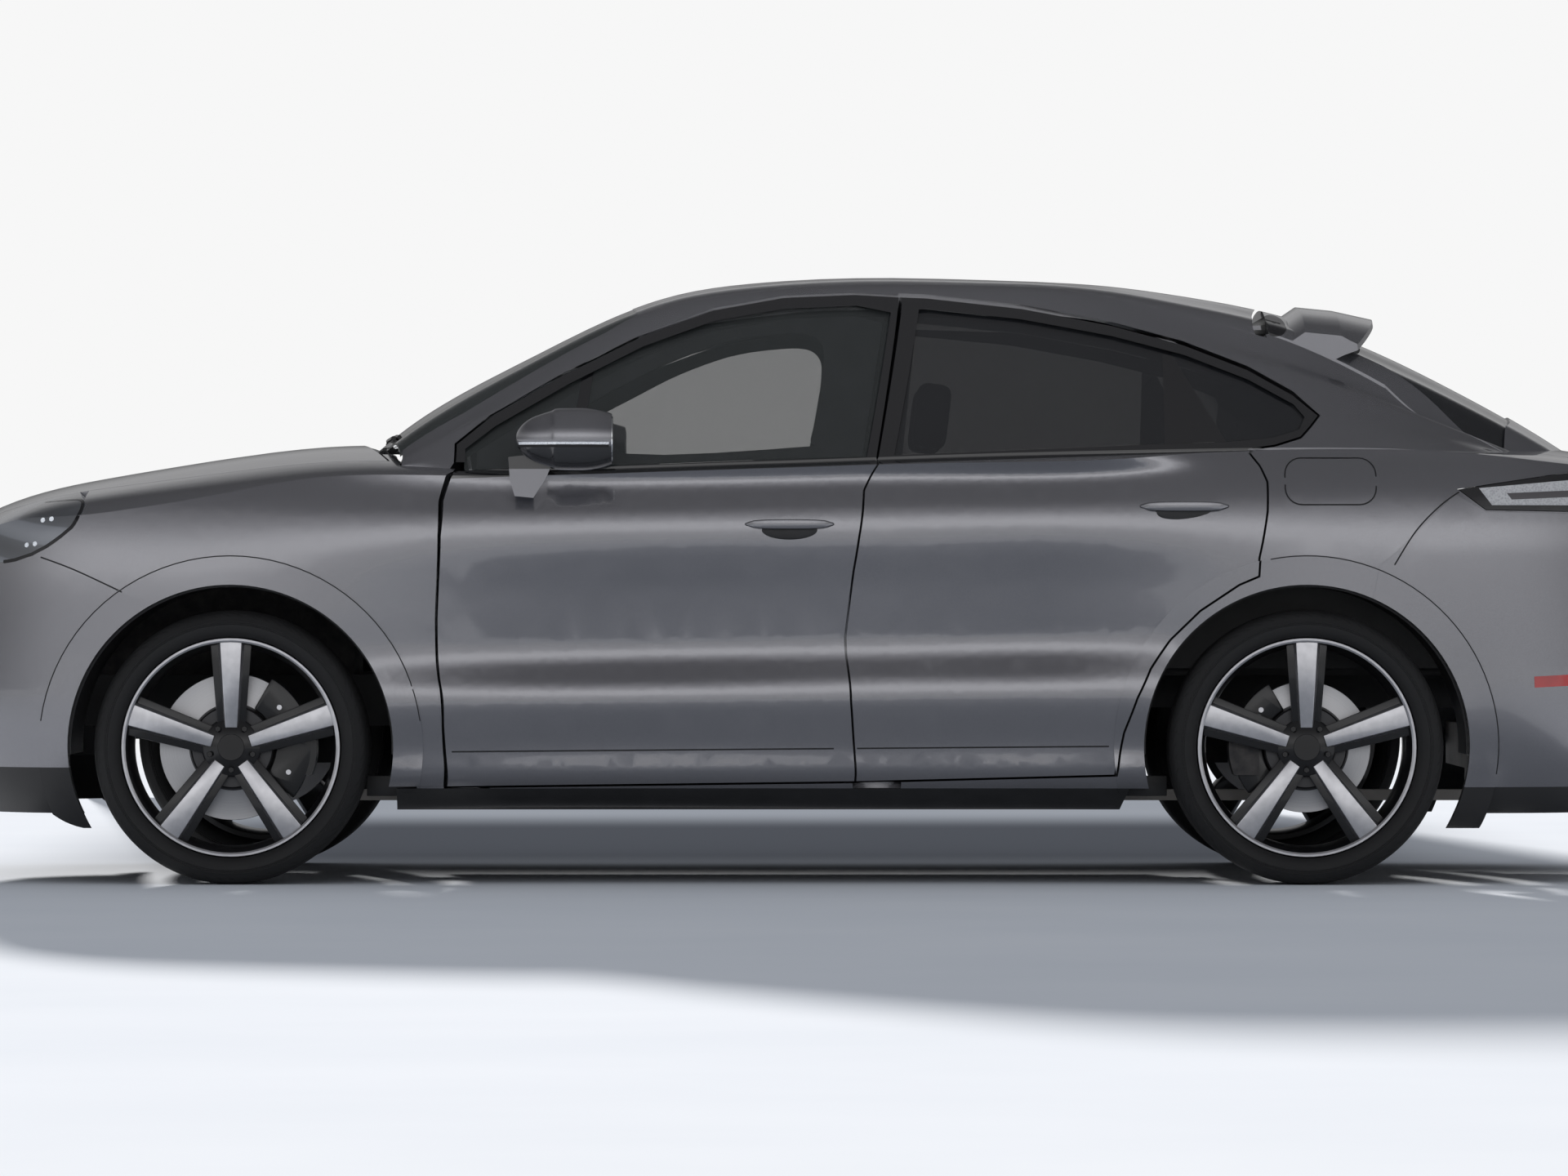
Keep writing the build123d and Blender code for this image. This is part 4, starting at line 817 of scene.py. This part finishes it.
def make_seams(side, sign):
    """The bumper seams beside the lamps, and black strips that close the sill's ends."""
    dark = finish(shut_line)
    for end, nodes, points in (("front", (f"fender_{side}", "front_bumper"),
                                [(FRONT_AXLE - 0.512, 0.881), (FRONT_AXLE - 0.42, 0.847), (FRONT_AXLE - 0.29, 0.787)]),
                               ("rear", (f"body_side_{side}", "rear_bumper"),
                                [(REAR_AXLE + 0.425, 1.066), (REAR_AXLE + 0.36, 1.02), (REAR_AXLE + 0.293, 0.951),
                                 (REAR_AXLE + 0.235, 0.86)])):
        seam = [skin_at(nodes, *spot, sign) for spot in smooth_path(points, 10)]
        drawn(f"bumper_seam_{end}_{side}", [seam], 0.004, "body", dark)
    ends = bmesh.new()
    for x0, x1 in ((FRONT_AXLE + 0.36, FRONT_AXLE + 0.54), (REAR_AXLE - 0.52, REAR_AXLE - 0.37)):
        slab(ends, [(x0, 0.235), (x1, 0.235), (x1, 0.29), (x0, 0.29)], sign * 0.80, sign * 0.815, 0.002)
    piece(f"sill_ends_{side}", ends, "body", finish(grained_plastic))


ARCH_SEAM_RADIUS = 0.5155


def arch_path(axle, start, stop, radius, steps=40):
    turns = [math.radians(start + (stop - start) * k / steps) for k in range(steps + 1)]
    return [(axle + radius * math.cos(t), AXLE_Z + radius * math.sin(t)) for t in turns]


def make_arches(side, sign):
    """The seam round each wheel arch trim."""
    dark = finish(shut_line)
    for end, axle, nodes, start, stop in (("front", FRONT_AXLE, ("fender", "front_bumper"), 8, 172),
                                          ("rear", REAR_AXLE, ("body_side", "rear_bumper"), -8, 128)):
        found = [f"{name}_{side}" if f"{name}_{side}" in NODES else name for name in nodes]
        seam = [skin_at(found, x, z, sign) for x, z in arch_path(axle, start, stop, ARCH_SEAM_RADIUS)]
        drawn(f"arch_seam_{end}_{side}", [seam], 0.003, "body", dark)


def dome(mesh, place, normal, radius, height):
    """A lens standing on the skin."""
    bmesh.ops.create_uvsphere(mesh, u_segments=20, v_segments=10, radius=1.0,
                              matrix=Matrix.Translation(place) @ normal.to_track_quat("Z", "Y").to_matrix().to_4x4()
                              @ Matrix.Diagonal((radius, radius, height, 1.0)))


PROUD = 0.0012  # how far a lamp's or a mirror's strip stands off the skin


def make_headlamp(side, sign):
    """Bright lenses in a dark housing, four on its side and four on its front, and a black rim."""
    node = "headlamps"
    outline = [(-0.516, 1.031), (-0.43, 1.037), (-0.402, 1.034), (-0.396, 1.022), (-0.402, 0.998), (-0.429, 0.961),
               (-0.466, 0.931), (-0.5, 0.908), (-0.537, 0.889), (-0.584, 0.874), (-0.617, 0.869)]
    inner = [(x - 0.006 if x > -0.42 else x, z) for x, z in outline]
    path = smooth_path([(FRONT_AXLE + x, z) for x, z in inner], 4)
    spots = [skin_at([node], x, z, sign) for x, z in path]
    drawn(f"headlamp_rim_{side}", [spots], 0.009, "body", finish(gloss_black), lift=PROUD)
    lenses = bmesh.new()
    for x, z in ((-0.508, 0.981), (-0.484, 0.984), (-0.552, 0.914), (-0.529, 0.917)):
        spot = skin_at([node], FRONT_AXLE + x, z, sign)
        if spot:
            dome(lenses, spot[0] - spot[1] * 0.002, spot[1], 0.0075, 0.005)
    for y, z in ((0.60, 0.93), (0.60, 0.89), (0.67, 0.95), (0.67, 0.905)):
        spot = skin_ahead(node, sign * y, z, -1)
        if spot:
            dome(lenses, spot[0] - spot[1] * 0.004, spot[1], 0.016, 0.009)
    piece(f"headlamp_lenses_{side}", lenses, "body", finish(bright_lens))


def make_mirror(side, sign):
    """Mirror glass on the flat rear face, a light strip across the shell and a dark seam below it."""
    low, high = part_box(f"mirror_{side}")
    body = f"front_door_{side}"
    centre = Vector((high.x, sign * 1.010, 1.198))
    glass_mesh = bmesh.new()
    bmesh.ops.create_cone(glass_mesh, cap_ends=True, segments=48, radius1=0.062, radius2=0.060, depth=0.003,
                          matrix=Matrix.Translation(centre + Vector((0.001, 0, 0)))
                          @ Matrix.Rotation(math.radians(90), 4, "Y"))
    piece(f"mirror_glass_{side}", glass_mesh, body, finish(mirror_glass))
    for name, z, width, made_of, slot in (("strip", 1.186, 0.007, finish(bright_lens), "lamp_glass"),
                                          ("seam", 1.179, 0.008, finish(shut_line), "black_trim")):
        rows = [skin_at([f"mirror_{side}"], low.x + 0.03 + k * 0.0078, z, sign) for k in range(32)]
        drawn(f"mirror_{name}_{side}", [rows], width, body, made_of, lift=PROUD)


def edge_ahead(node, y, low, high, highest):
    """The highest or the lowest point of a CAD node's front that a row of level rays meets at this y."""
    heights = [low + (high - low) * k / 90 for k in range(91)]
    for z in (heights[::-1] if highest else heights):
        spot = skin_ahead(node, y, z, -1)
        if spot and spot[0].x < FRONT_AXLE - 0.5:
            return spot[0]
    return None


def make_nose():
    """The painted panel that closes the nose between the bumper's upper edge and the hood's front edge."""
    mesh = bmesh.new()
    rows = []
    for k in range(65):
        y = -0.56 + 1.12 * k / 64
        foot, top = edge_ahead("front_bumper", y, 0.7, 1.05, True), edge_ahead("hood", y, 0.8, 1.1, False)
        if foot and top and top.z - foot.z > 0.006:
            top = top - Vector((0.0, 0.0, 0.004))
            bow = [0.003 - 0.012 * math.sin(math.pi * t / 6) for t in range(7)]
            rows.append([mesh.verts.new(foot.lerp(top, t / 6) + Vector((bow[t], 0, 0))) for t in range(7)])
        else:
            rows.append(None)
    for a, b in zip(rows, rows[1:]):
        if a and b:
            for k in range(6):
                mesh.faces.new((a[k], b[k], b[k + 1], a[k + 1]))
    bmesh.ops.recalc_face_normals(mesh, faces=mesh.faces)
    bmesh.ops.solidify(mesh, geom=mesh.faces[:], thickness=0.004)
    piece("nose_panel", mesh, "body", finish(paint), 50.0)


def make_plate(end, z):
    """A blank number plate on the middle of a bumper."""
    along = -1 if end == "front" else 1
    spot = skin_ahead(f"{end}_bumper", 0.0, z, along)
    plate = bmesh.new()
    bmesh.ops.create_cube(plate, size=1.0, matrix=Matrix.Translation((spot[0].x + 0.001 * along, 0, z))
                          @ Matrix.Diagonal((0.008, 0.52, 0.11, 1.0)))
    rounded(plate, 0.002)
    piece(f"number_plate_{end}", plate, "body", finish(blank_plate))


def make_front():
    """Black floors of the intake slots, the mesh behind the slats, and a blank number plate."""
    for side, sign in SIDES:
        rows = [row_ahead("front_bumper", sign * 0.561, sign * 0.789, z, -1, 24) for z in (0.544, 0.609, 0.674)]
        drawn(f"intake_floor_{side}", rows, 0.047, "body", finish(grained_plastic))
    rows = [row_ahead("front_bumper", -0.598, 0.598, 0.385, -1)]
    drawn("lower_intake_floor", rows, 0.079, "body", finish(honeycomb))
    low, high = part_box("grille")
    net = bmesh.new()
    bmesh.ops.create_cube(net, size=1.0, matrix=Matrix.Translation((high.x + 0.012, 0, (low.z + high.z) / 2))
                          @ Matrix.Diagonal((0.004, 0.84, high.z - low.z - 0.02, 1.0)))
    piece("grille_mesh", net, "body", finish(honeycomb), 0)
    make_plate("front", 0.50)


def make_rear():
    """The light strip across the tailgate, reflectors, a blank number plate and the exhaust tips."""
    red = finish(red_lens)
    drawn("tail_strip", [row_ahead("tailgate", -0.62, 0.62, 1.05, 1)], 0.016, "tailgate", red)
    for side, sign in SIDES:
        rows = [skin_at(["rear_bumper"], REAR_AXLE + 0.612 + 0.012 * k, 0.545 + 0.0006 * k, sign) for k in range(22)]
        drawn(f"rear_reflector_{side}", [rows], 0.03, "body", red)
        tips = bmesh.new()
        for y in (0.50, 0.60):
            pipe = turned([(0.044, -0.09), (0.047, -0.09), (0.049, 0.0), (0.046, 0.004), (0.043, 0.0)], 40)
            bmesh.ops.rotate(pipe, verts=pipe.verts, matrix=Matrix.Rotation(math.radians(-90), 3, "Z"))
            bmesh.ops.translate(pipe, verts=pipe.verts, vec=(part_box("rear_bumper")[1].x - 0.055, sign * y, 0.315))
            add_mesh(tips, pipe)
        piece(f"exhaust_tips_{side}", tips, "body", finish(bright_trim))
    make_plate("rear", 0.60)


def make_tow_cover(node, along):
    """The round painted cover over the towing eye's passage in a bumper."""
    inner, outer = (skin_ahead(node, y, 0.49, along)[0] for y in (0.268, 0.332))
    facing = Vector((outer.y - inner.y, inner.x - outer.x, 0.0)).normalized() * along
    cover = bmesh.new()
    bmesh.ops.create_cone(cover, cap_ends=True, segments=48, radius1=0.0232, radius2=0.0232, depth=0.004,
                          matrix=Matrix.Translation((inner + outer) / 2 - facing * 0.003)
                          @ facing.to_track_quat("Z", "Y").to_matrix().to_4x4())
    rounded(cover, 0.0012, 2, [edge for edge in cover.edges if edge.calc_face_angle(0) > 1.0])
    piece(f"tow_cover_{node}", cover, "body", finish(paint), 30.0)


# ---------------------------------------------------------------- seats and wipers
def pad(name, size, turn, middle, channels, bolster):
    """A stuffed leather pad (across, along, thick): a rounded closed form with raised sides, two long seams and
    sewn channels between them on its upper face."""
    mesh = bmesh.new()
    bmesh.ops.create_cube(mesh, size=2.0)
    bmesh.ops.subdivide_edges(mesh, edges=mesh.edges[:], cuts=31, use_grid_fill=True)
    across, along, thick = (half / 2 for half in size)
    for v in mesh.verts:
        u, t, w = v.co
        swell = (abs(u) ** 6 + abs(t) ** 6 + abs(w) ** 4) ** (1 / 5)
        u, t, w = u / swell, t / swell, w / swell
        rise = 0.0
        if w > 0:
            side = min(1.0, max(0.0, (abs(u) - 0.5) / 0.35))
            rise = bolster * (side * side * (3 - 2 * side) - 0.5) - 0.012 * math.exp(-((abs(u) - 0.56) / 0.05) ** 2)
            if abs(u) < 0.56:
                rise -= sum(0.009 * math.exp(-((t - at) / 0.05) ** 2) for at in channels)
        waist = 1.0 - 0.03 * (1 - t * t)
        v.co = (u * across * waist, t * along, w * thick + rise * w)
    mesh.transform(Matrix.Translation(middle) @ turn)
    made = piece(name, mesh, "body", finish(leather), 60.0)
    return made


def upright(lean):
    """Turns a pad on edge: its length up and leaning back, its upper face forward."""
    return Matrix.Rotation(lean, 4, "Y") @ Matrix(((0, 0, -1, 0), (1, 0, 0, 0), (0, 1, 0, 0), (0, 0, 0, 1)))


LEVEL = Matrix(((0, 1, 0, 0), (1, 0, 0, 0), (0, 0, 1, 0), (0, 0, 0, 1)))


def make_front_seats():
    x0 = FRONT_AXLE + 1.18
    lean = math.atan2(0.245, 0.615)
    pads, frames = [], bmesh.new()
    for side, sign in SIDES:
        y = sign * 0.38
        pads.append(pad(f"front_seat_cushion_{side}", (0.50, 0.49, 0.13), LEVEL, Vector((x0 + 0.25, y, 0.492)),
                        (-0.45, 0.0, 0.45), 0.03))
        pads.append(pad(f"front_seat_back_{side}", (0.50, 0.63, 0.11), upright(lean), Vector((x0 + 0.583, y, 0.865)),
                        (-0.6, -0.3, 0.0, 0.3), 0.03))
        pads.append(pad(f"front_headrest_{side}", (0.26, 0.18, 0.095), upright(0.12), Vector((x0 + 0.715, y, 1.27)),
                        (), 0.0))
        slab(frames, [(x0 + 0.07, 0.293), (x0 + 0.43, 0.293), (x0 + 0.41, 0.428), (x0 + 0.09, 0.428)],
             y - 0.19, y + 0.19, 0.008)
    piece("front_seat_frames", frames, "body", finish(grained_plastic))
    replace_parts(pads[0], "front_seats")


def make_rear_seat():
    x0, step = FRONT_AXLE + 1.863, REAR_AXLE - 0.48
    lean = math.atan2(0.18, 0.535)
    depth = step - x0
    cushion = pad("rear_seat_cushion", (1.22, depth - 0.01, 0.16), LEVEL, Vector(((x0 + step) / 2, 0, 0.508)),
                  (-0.4, 0.3), 0.02)
    pad("rear_seat_back", (1.22, 0.55, 0.12), upright(lean), Vector((step + 0.095, 0, 0.86)), (-0.5, 0.0, 0.5), 0.02)
    block = bmesh.new()
    slab(block, [(x0 + 0.02, 0.43), (step - 0.01, 0.43), (step - 0.01, 0.5), (x0 + 0.02, 0.5)], -0.58, 0.58, 0.01)
    piece("rear_seat_base", block, "body", finish(grained_plastic))
    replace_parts(cushion, "rear_seat")


def make_window_lining(side, sign):
    """The lining round the inside of a front door's window, with a rounded opening."""
    outer = [(0.655, 1.13), (1.015, 1.141), (1.395, 1.156), (1.70, 1.165), (1.757, 1.535), (1.682, 1.553),
             (1.49, 1.545), (1.3, 1.511), (1.11, 1.441), (0.915, 1.339), (0.722, 1.223), (0.655, 1.18)]
    hole = [(1.06, 1.172), (0.955, 1.27), (0.95, 1.305), (1.05, 1.36), (1.19, 1.43), (1.33, 1.48), (1.45, 1.5),
            (1.55, 1.502), (1.592, 1.47), (1.595, 1.41), (1.585, 1.34), (1.56, 1.21), (1.535, 1.19)]
    mesh = bmesh.new()
    edges = []
    for loop in (outer, smooth_path(hole, 4, True)):
        spots = []
        for x, z in loop:
            spot = skin_at([f"window_front_{side}"], FRONT_AXLE + x, z, sign)
            if spot:
                spots.append(mesh.verts.new(spot[0] - spot[1] * 0.03))
        edges += [mesh.edges.new(pair) for pair in zip(spots, spots[1:] + spots[:1])]
    made = bmesh.ops.triangle_fill(mesh, use_beauty=True, edges=edges)["geom"]
    faces = [item for item in made if isinstance(item, bmesh.types.BMFace)]
    bmesh.ops.solidify(mesh, geom=faces, thickness=0.006)
    piece(f"window_lining_{side}", mesh, f"front_door_{side}", finish(lining), 50.0)


def make_wipers():
    """Two arms and blades at the foot of the windscreen."""
    mesh = bmesh.new()
    for y0, y1 in ((-0.52, 0.04), (0.08, 0.6)):
        spots = []
        for k in range(13):
            y = y0 + (y1 - y0) * k / 12
            for step in range(60):
                hit, place, normal, _ = NODES["windscreen"].ray_cast(Vector((FRONT_AXLE + 0.3 + 0.006 * step, y, 1.9)),
                                                                    Vector((0, 0, -1)))
                if hit:
                    spots.append(place + Vector((0.032, 0, 0.02)) + (normal if normal.z > 0 else -normal) * 0.007)
                    break
        for a, b in zip(spots, spots[1:]):
            rod(mesh, a, b, 0.006, 8)
        rod(mesh, spots[6] + Vector((0, 0, 0.004)), spots[1] + Vector((-0.012, 0, -0.004)), 0.007, 10)
    piece("wipers", mesh, "body", finish(gloss_black))


# ---------------------------------------------------------------- stage
def floor_finish(g):
    x, y, z = g.axes()
    far = g.reach(x, y)
    away = g.node("MapRange", {"interpolation_type": "SMOOTHSTEP"}, Value=far, From_Min=9.0, From_Max=26.0)
    mottle_and_painted_shadow = g.mottled(g.noise(0.8, 4.0), (0.80, 0.81, 0.83), (0.84, 0.845, 0.86))
    # painted shadow: under and behind the car, in a soft-edged box round x -0.05 and y 3.2, the floor's colour goes
    # dark, to (0.21, 0.215, 0.23)
    inside = [g.node("MapRange", {"interpolation_type": "SMOOTHSTEP"}, Value=g.maths("ABSOLUTE", g.minus(*pair)),
                     From_Min=reach[0], From_Max=reach[1], To_Min=1.0, To_Max=0.0).outputs[0]
              for pair, reach in (((x, -0.05), (1.3, 2.5)), ((y, 3.2), (1.4, 3.6)))]
    mottle_and_painted_shadow = g.blend(g.times(*inside), mottle_and_painted_shadow, (0.21, 0.215, 0.23))
    g.set(Base_Color=mottle_and_painted_shadow, Roughness=0.9, Specular_IOR_Level=0.0)
    glow = g.node("Emission", Color=(0.93, 0.93, 0.93, 1.0), Strength=1.0)
    mixed = g.node("MixShader")
    g.feed(mixed.inputs[0], away.outputs[0])
    g.feed(mixed.inputs[1], g.shader.outputs[0])
    g.feed(mixed.inputs[2], glow.outputs[0])
    out = g.tree.nodes["Material Output"]
    g.tree.links.new(mixed.outputs[0], out.inputs["Surface"])


def studio_world():
    """A plain pale backdrop; gloss shows its bright horizon, a darker band above it and a lit ceiling."""
    world = bpy.data.worlds.new("studio")
    bpy.context.scene.world = world
    world.use_nodes = True
    g = Graph(world)
    across, along, height = g.node("SeparateXYZ", Vector=g.place("Generated")).outputs
    sky = g.ramp(height, (0.0, (0.85, 0.85, 0.86)), (0.08, (0.85, 0.85, 0.86)), (0.17, (1.7, 1.7, 1.72)),
                 (0.27, (1.7, 1.7, 1.72)), (0.42, (0.75, 0.75, 0.77)), (0.62, (0.25, 0.25, 0.26)),
                 (1.0, (0.3, 0.3, 0.31)))
    ends = g.line(g.times(across, across), -0.5, 1.0)
    near = g.times(g.line(along, -0.4, 0.62), ends)
    fill = g.node("Background", Color=(0.9, 0.96, 1.06, 1.0), Strength=0.42)
    gloss = g.node("Background", Color=sky, Strength=near)
    seen = g.node("Background", Color=(0.93, 0.93, 0.93, 1.0), Strength=1.0)
    rays = g.node("LightPath").outputs
    shiny = g.node("MixShader", Fac=rays["Is Glossy Ray"])
    g.tree.links.new(fill.outputs[0], shiny.inputs[1])
    g.tree.links.new(gloss.outputs[0], shiny.inputs[2])
    through = g.node("MixShader", Fac=g.maths("MAXIMUM", rays["Is Camera Ray"], rays["Is Transmission Ray"]))
    g.tree.links.new(shiny.outputs[0], through.inputs[1])
    g.tree.links.new(seen.outputs[0], through.inputs[2])
    g.tree.links.new(through.outputs[0], g.tree.nodes["World Output"].inputs["Surface"])


def lamp(name, kind, place, aim, energy, lights, **settings):
    data = bpy.data.lights.new(name, kind)
    data.energy = energy
    for key, value in settings.items():
        setattr(data, key, value)
    made = bpy.data.objects.new(name, data)
    bpy.context.scene.collection.objects.link(made)
    made.location = place
    made.rotation_euler = (Vector(aim) - Vector(place)).to_track_quat("-Z", "Y").to_euler()
    made.light_linking.receiver_collection = lights
    made.visible_glossy = False


def lit_group(name, floor, state):
    """The floor alone, or everything but the floor, for a lamp to light."""
    group = bpy.data.collections.new(name)
    group.objects.link(floor)
    group.collection_objects[0].light_linking.link_state = state
    return group


def make_stage():
    sizes = bpy.context.scene.vehicle_stage
    mesh = bmesh.new()
    bmesh.ops.create_circle(mesh, cap_ends=True, segments=64, radius=sizes.floor)
    data = bpy.data.meshes.new("floor")
    mesh.to_mesh(data)
    mesh.free()
    floor = bpy.data.objects.new("floor", data)
    bpy.context.scene.collection.objects.link(floor)
    data.materials.append(finish(floor_finish, name="floor"))
    flag = bpy.data.meshes.new("flag")
    mesh = bmesh.new()
    bmesh.ops.create_grid(mesh, x_segments=2, y_segments=2, size=0.5)
    bmesh.ops.rotate(mesh, verts=mesh.verts, matrix=Matrix.Rotation(math.radians(90), 3, "X"))
    bmesh.ops.scale(mesh, verts=mesh.verts, vec=(4.1, 1.0, 1.85))
    bmesh.ops.translate(mesh, verts=mesh.verts, vec=(-0.65, 9.0, 0.92))
    mesh.to_mesh(flag)
    mesh.free()
    shade_card = bpy.data.objects.new("flag", flag)
    bpy.context.scene.collection.objects.link(shade_card)
    flag.materials.append(finish(grained_plastic, name="flag"))
    for ray in ("camera", "diffuse", "glossy", "transmission"):
        setattr(shade_card, "visible_" + ray, False)
    studio_world()
    ground = lit_group("floor only", floor, "INCLUDE")
    rest = lit_group("all but floor", floor, "EXCLUDE")
    lamp("low back light", "SUN", (-1.4, 12, 2.3), (0, 0, 0), 11.5, ground, angle=math.radians(2.5))
    lamp("overhead", "AREA", (0, 0.5, 6.0), (0, 0, 0), 260, rest, shape="RECTANGLE", size=7.0, size_y=3.0)
    lamp("near side", "AREA", (-1.0, -9.0, 3.2), (0, 0, 0.8), 200, rest, shape="RECTANGLE", size=9.0, size_y=1.6)
    lamp("far side", "AREA", (1.0, 9.0, 3.2), (0, 0, 0.8), 200, rest, shape="RECTANGLE", size=9.0, size_y=1.6)
    camera = bpy.data.cameras.new("camera")
    camera.lens = 205.0
    camera.sensor_width = 36.0
    camera.clip_end = 500.0
    eye = bpy.data.objects.new("camera", camera)
    bpy.context.scene.collection.objects.link(eye)
    eye.location = (-0.044, -sizes.camera_back, sizes.camera_height)
    eye.rotation_euler = (math.radians(90), 0, 0)
    bpy.context.scene.camera = eye
    bpy.context.scene.view_settings.view_transform = "Standard"


# ---------------------------------------------------------------- operators
class VEHICLE_OT_stage(bpy.types.Operator):
    """Adds the floor, the lamps and the camera"""
    bl_idname = "vehicle.stage"
    bl_label = "Stage"

    def execute(self, context):
        make_stage()
        return {"FINISHED"}


class VEHICLE_OT_finishes(bpy.types.Operator):
    """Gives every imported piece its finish"""
    bl_idname = "vehicle.finishes"
    bl_label = "Finishes"

    def execute(self, context):
        dress(finish(mirror_shell), "mirror_left", "mirror_right")
        dress(finish(paint, lip=(0.315, 0.6, 0.43), name="front bumper paint"), "front_bumper")
        dress(finish(paint, lip=(0.262, 0.62, 0.45), name="rear bumper paint"), "rear_bumper")
        dress(finish(paint, inside="side", name="paint, lined inside"), "fender_left", "fender_right")
        dress(finish(paint, inside="side", hinge=TAILGATE_HINGE, name="side paint"), "body_side_left",
              "body_side_right")
        dress(finish(paint, inside="below", name="paint, lined below"), "hood")
        dress(finish(paint, inside="below", hinge=TAILGATE_HINGE, name="roof paint"), "tailgate", "roof_panel")
        dress(finish(paint, belt=True, inside="side", name="door paint"), "door_front_left", "door_front_right",
              "door_rear_left", "door_rear_right")
        dress(finish(gloss_black), "grille")
        dress(finish(grained_plastic), "sill_trims", "wheel_liners", "dashboard", "steering_wheel")
        dress(finish(glass, (0.05, 0.055, 0.055), 0.66, name="clear glass"), "windscreen")
        dress(finish(glass, (0.04, 0.045, 0.045), 0.66, FRONT_DIVIDER, name="door glass"), "window_front_left",
              "window_front_right")
        dress(finish(glass, (0.012, 0.013, 0.015), 0.36, REAR_DIVIDER, name="privacy glass"), "window_rear_left",
              "window_rear_right")
        dress(finish(glass, (0.012, 0.013, 0.015), 0.3, name="rear glass"), "rear_window")
        dress(finish(lamp_black), "headlamps")
        dress(finish(tail_lamp), "tail_lamps")
        dress(finish(underbody), "floor_pan")
        dress(finish(cast_iron), "engine_block", "suspension")
        dress(finish(wheel_black, name="caliper black"), "knuckle_front_left", "knuckle_front_right")
        dress(finish(exhaust_steel), "exhaust")
        dress(finish(leather), "front_seats", "rear_seat")
        return {"FINISHED"}


class VEHICLE_OT_wheels(bpy.types.Operator):
    """Makes the four wheels with their tyres and brake discs"""
    bl_idname = "vehicle.wheels"
    bl_label = "Wheels"

    def execute(self, context):
        for end in ENDS:
            for side, sign in SIDES:
                make_tyre(end, side, sign)
                make_wheel(end, side, sign)
                make_caliper(end, side, sign)
        return {"FINISHED"}


class VEHICLE_OT_handles(bpy.types.Operator):
    """Makes the four door handles"""
    bl_idname = "vehicle.handles"
    bl_label = "Door handles"

    def execute(self, context):
        for end in ENDS:
            for side, sign in SIDES:
                make_handle(end, side, sign)
        return {"FINISHED"}


class VEHICLE_OT_lines(bpy.types.Operator):
    """Draws the shut lines, the door foot's groove in painted shade and the arch seams on both sides"""
    bl_idname = "vehicle.lines"
    bl_label = "Shut lines"

    def execute(self, context):
        for side, sign in SIDES:
            make_lines(side, sign)
            make_arches(side, sign)
            make_seams(side, sign)
        return {"FINISHED"}


class VEHICLE_OT_lamps(bpy.types.Operator):
    """Makes the headlamp lenses and both mirrors' glass and light strips"""
    bl_idname = "vehicle.lamps"
    bl_label = "Lamps and mirrors"

    def execute(self, context):
        for side, sign in SIDES:
            make_headlamp(side, sign)
            make_mirror(side, sign)
        return {"FINISHED"}


class VEHICLE_OT_ends(bpy.types.Operator):
    """Makes the intakes, plates, reflectors and exhaust tips of the front and the rear"""
    bl_idname = "vehicle.ends"
    bl_label = "Front and rear trim"

    def execute(self, context):
        make_nose()
        make_tow_cover("front_bumper", -1)
        make_tow_cover("rear_bumper", 1)
        make_front()
        make_rear()
        return {"FINISHED"}


class VEHICLE_OT_seats(bpy.types.Operator):
    """Makes the padded seats, the window linings and the wipers"""
    bl_idname = "vehicle.seats"
    bl_label = "Seats and wipers"

    def execute(self, context):
        make_front_seats()
        make_rear_seat()
        for side, sign in SIDES:
            make_window_lining(side, sign)
        make_wipers()
        return {"FINISHED"}


class VEHICLE_PT_panel(bpy.types.Panel):
    """Lists the vehicle's sizes, colours and makers"""
    bl_idname = "VEHICLE_PT_panel"
    bl_label = "Coupe sport utility vehicle"
    bl_space_type = "VIEW_3D"
    bl_region_type = "UI"
    bl_category = "Vehicle"

    def draw(self, context):
        for name, group in GROUPS:
            box = self.layout.box()
            for key in group.__annotations__:
                box.prop(getattr(context.scene, name), key)
        for operator in OPERATORS:
            self.layout.operator(operator.bl_idname)


GROUPS = (("vehicle_colours", VehicleColours), ("vehicle_wheels", WheelSizes), ("vehicle_tyres", TyreSizes),
          ("vehicle_trim", TrimSizes), ("vehicle_stage", StageSizes))
OPERATORS = (VEHICLE_OT_stage, VEHICLE_OT_finishes, VEHICLE_OT_wheels, VEHICLE_OT_handles, VEHICLE_OT_lines,
             VEHICLE_OT_lamps, VEHICLE_OT_ends, VEHICLE_OT_seats)


def register():
    for name, group in GROUPS:
        bpy.utils.register_class(group)
        setattr(bpy.types.Scene, name, PointerProperty(type=group))
    for entry in (*OPERATORS, VEHICLE_PT_panel):
        bpy.utils.register_class(entry)


def unregister():
    for entry in (VEHICLE_PT_panel, *OPERATORS[::-1]):
        bpy.utils.unregister_class(entry)
    for name, group in GROUPS[::-1]:
        delattr(bpy.types.Scene, name)
        bpy.utils.unregister_class(group)


def main():
    register()
    for operator in OPERATORS:
        family, _, name = operator.bl_idname.partition(".")
        getattr(getattr(bpy.ops, family), name)()


if __name__ == "__main__":
    main()
